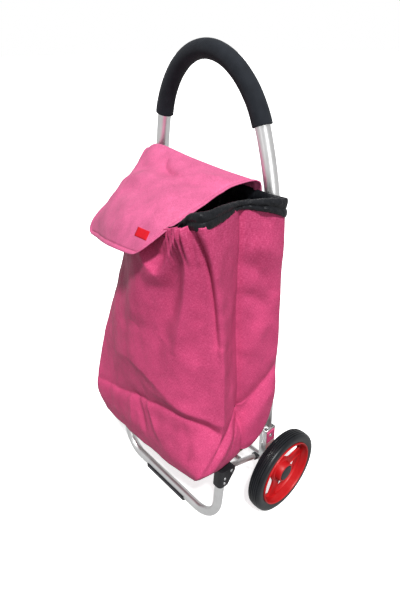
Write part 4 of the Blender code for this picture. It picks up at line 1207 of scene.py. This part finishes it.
# ---------------------------------------------------------------- CAD nodes that show as they are
# the start of a node's name: its material, and the width of its broken edges
CAD_LOOKS = {
    "axle_bracket": ("aluminium", 0.0004), "axle_nut": ("steel", 0.0005), "axle_rod": ("steel", 0.0004),
    "axle_spacer": ("black_plastic", 0.0006), "corner_tab": ("tab_cloth", 0.0005),
    "elbow": ("black_plastic", 0.0012), "foot_pad": ("black_plastic", 0.0010), "foot_pin": ("steel", 0.0003),
    "hanger_loop": ("black_cloth", 0.0012), "hub_bush": ("black_plastic", 0.0004),
    "leg_rivet": ("steel", 0.0003), "press_stud": ("steel", 0.0002), "rail_eye": ("black_plastic", 0.0006),
    "rail_pin": ("steel", 0.0003), "rail_tongue": ("black_plastic", 0.0006), "rail": ("aluminium", 0.0002),
}


def dress_cad_nodes():
    """Gives each CAD node that still shows its material and softly broken edges."""
    for name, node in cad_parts.items():
        if node.hide_render:
            continue
        family = max((key for key in CAD_LOOKS if name.startswith(key)), key=len)
        look, width = CAD_LOOKS[family]
        node.data.materials.clear()
        node.data.materials.append(LOOK[look])
        bevelled(node, width)


# ---------------------------------------------------------------- stage
def stage():
    bm = bmesh.new()
    bmesh.ops.create_grid(bm, x_segments=1, y_segments=1, size=80.0)
    floor = from_bmesh("floor", bm, stage_look(), sharp=None)
    floor.visible_diffuse = False
    floor.visible_glossy = False

    world = bpy.data.worlds.new("studio")
    bpy.context.scene.world = world
    world.use_nodes = True
    tree = world.node_tree
    sky = tree.nodes["Background"]
    sky.inputs["Color"].default_value = (1.0, 1.0, 1.0, 1)
    rays = tree.nodes.new("ShaderNodeLightPath").outputs
    level = None
    for ray, strength in (("Is Glossy Ray", SKY_GLOSS), ("Is Camera Ray", 1.0)):
        step = tree.nodes.new("ShaderNodeMapRange")
        tree.links.new(rays[ray], step.inputs["Value"])
        step.inputs["To Min"].default_value = SKY_STRENGTH
        step.inputs["To Max"].default_value = strength
        if level:
            tree.links.new(level.outputs["Result"], step.inputs["To Min"])
        level = step
    tree.links.new(level.outputs["Result"], sky.inputs["Strength"])

    sun = bpy.data.lights.new("sun", "SUN")
    sun.energy = SUN_STRENGTH
    sun.angle = radians(SUN_ANGLE)
    lamp = linked("sun", sun)
    lamp.rotation_euler = (-Vector(SUN_FROM)).to_track_quat("-Z", "Y").to_euler()
    for name, place, aim, size, power in SOFT_BOXES:
        light = bpy.data.lights.new(name, "AREA")
        light.size = size
        light.energy = power
        lamp = linked(name, light)
        lamp.location = place
        lamp.rotation_euler = (Vector(aim) - Vector(place)).to_track_quat("-Z", "Y").to_euler()

    eye = bpy.data.cameras.new("camera")
    eye.lens = CAMERA_LENS
    eye.sensor_width = 36.0
    eye.shift_x, eye.shift_y = CAMERA_SHIFT
    camera = linked("camera", eye)
    at = Vector(placed(CAMERA_AT))
    look = (Vector(placed(CAMERA_LOOK)) - at).normalized()
    right = look.cross(Vector((0, 0, 1))).normalized()
    up = right.cross(look)
    right, up = (right * cos(CAMERA_ROLL) + up * sin(CAMERA_ROLL),
                 up * cos(CAMERA_ROLL) - right * sin(CAMERA_ROLL))
    turn = Matrix((right, up, -look)).transposed().to_4x4()
    camera.matrix_world = Matrix.Translation(at) @ turn
    bpy.context.scene.camera = camera
    bpy.context.scene.view_settings.view_transform = "Standard"


def build():
    stage()
    handle()
    straight_tubes()
    foot_tube()
    for side, sign in (("left", -1), ("right", 1)):
        wheel(side, sign)
    bag()
    lining()
    collar()
    board()
    sheet, points = lid()
    patch = lid_patch(points)
    dress_cad_nodes()


build()
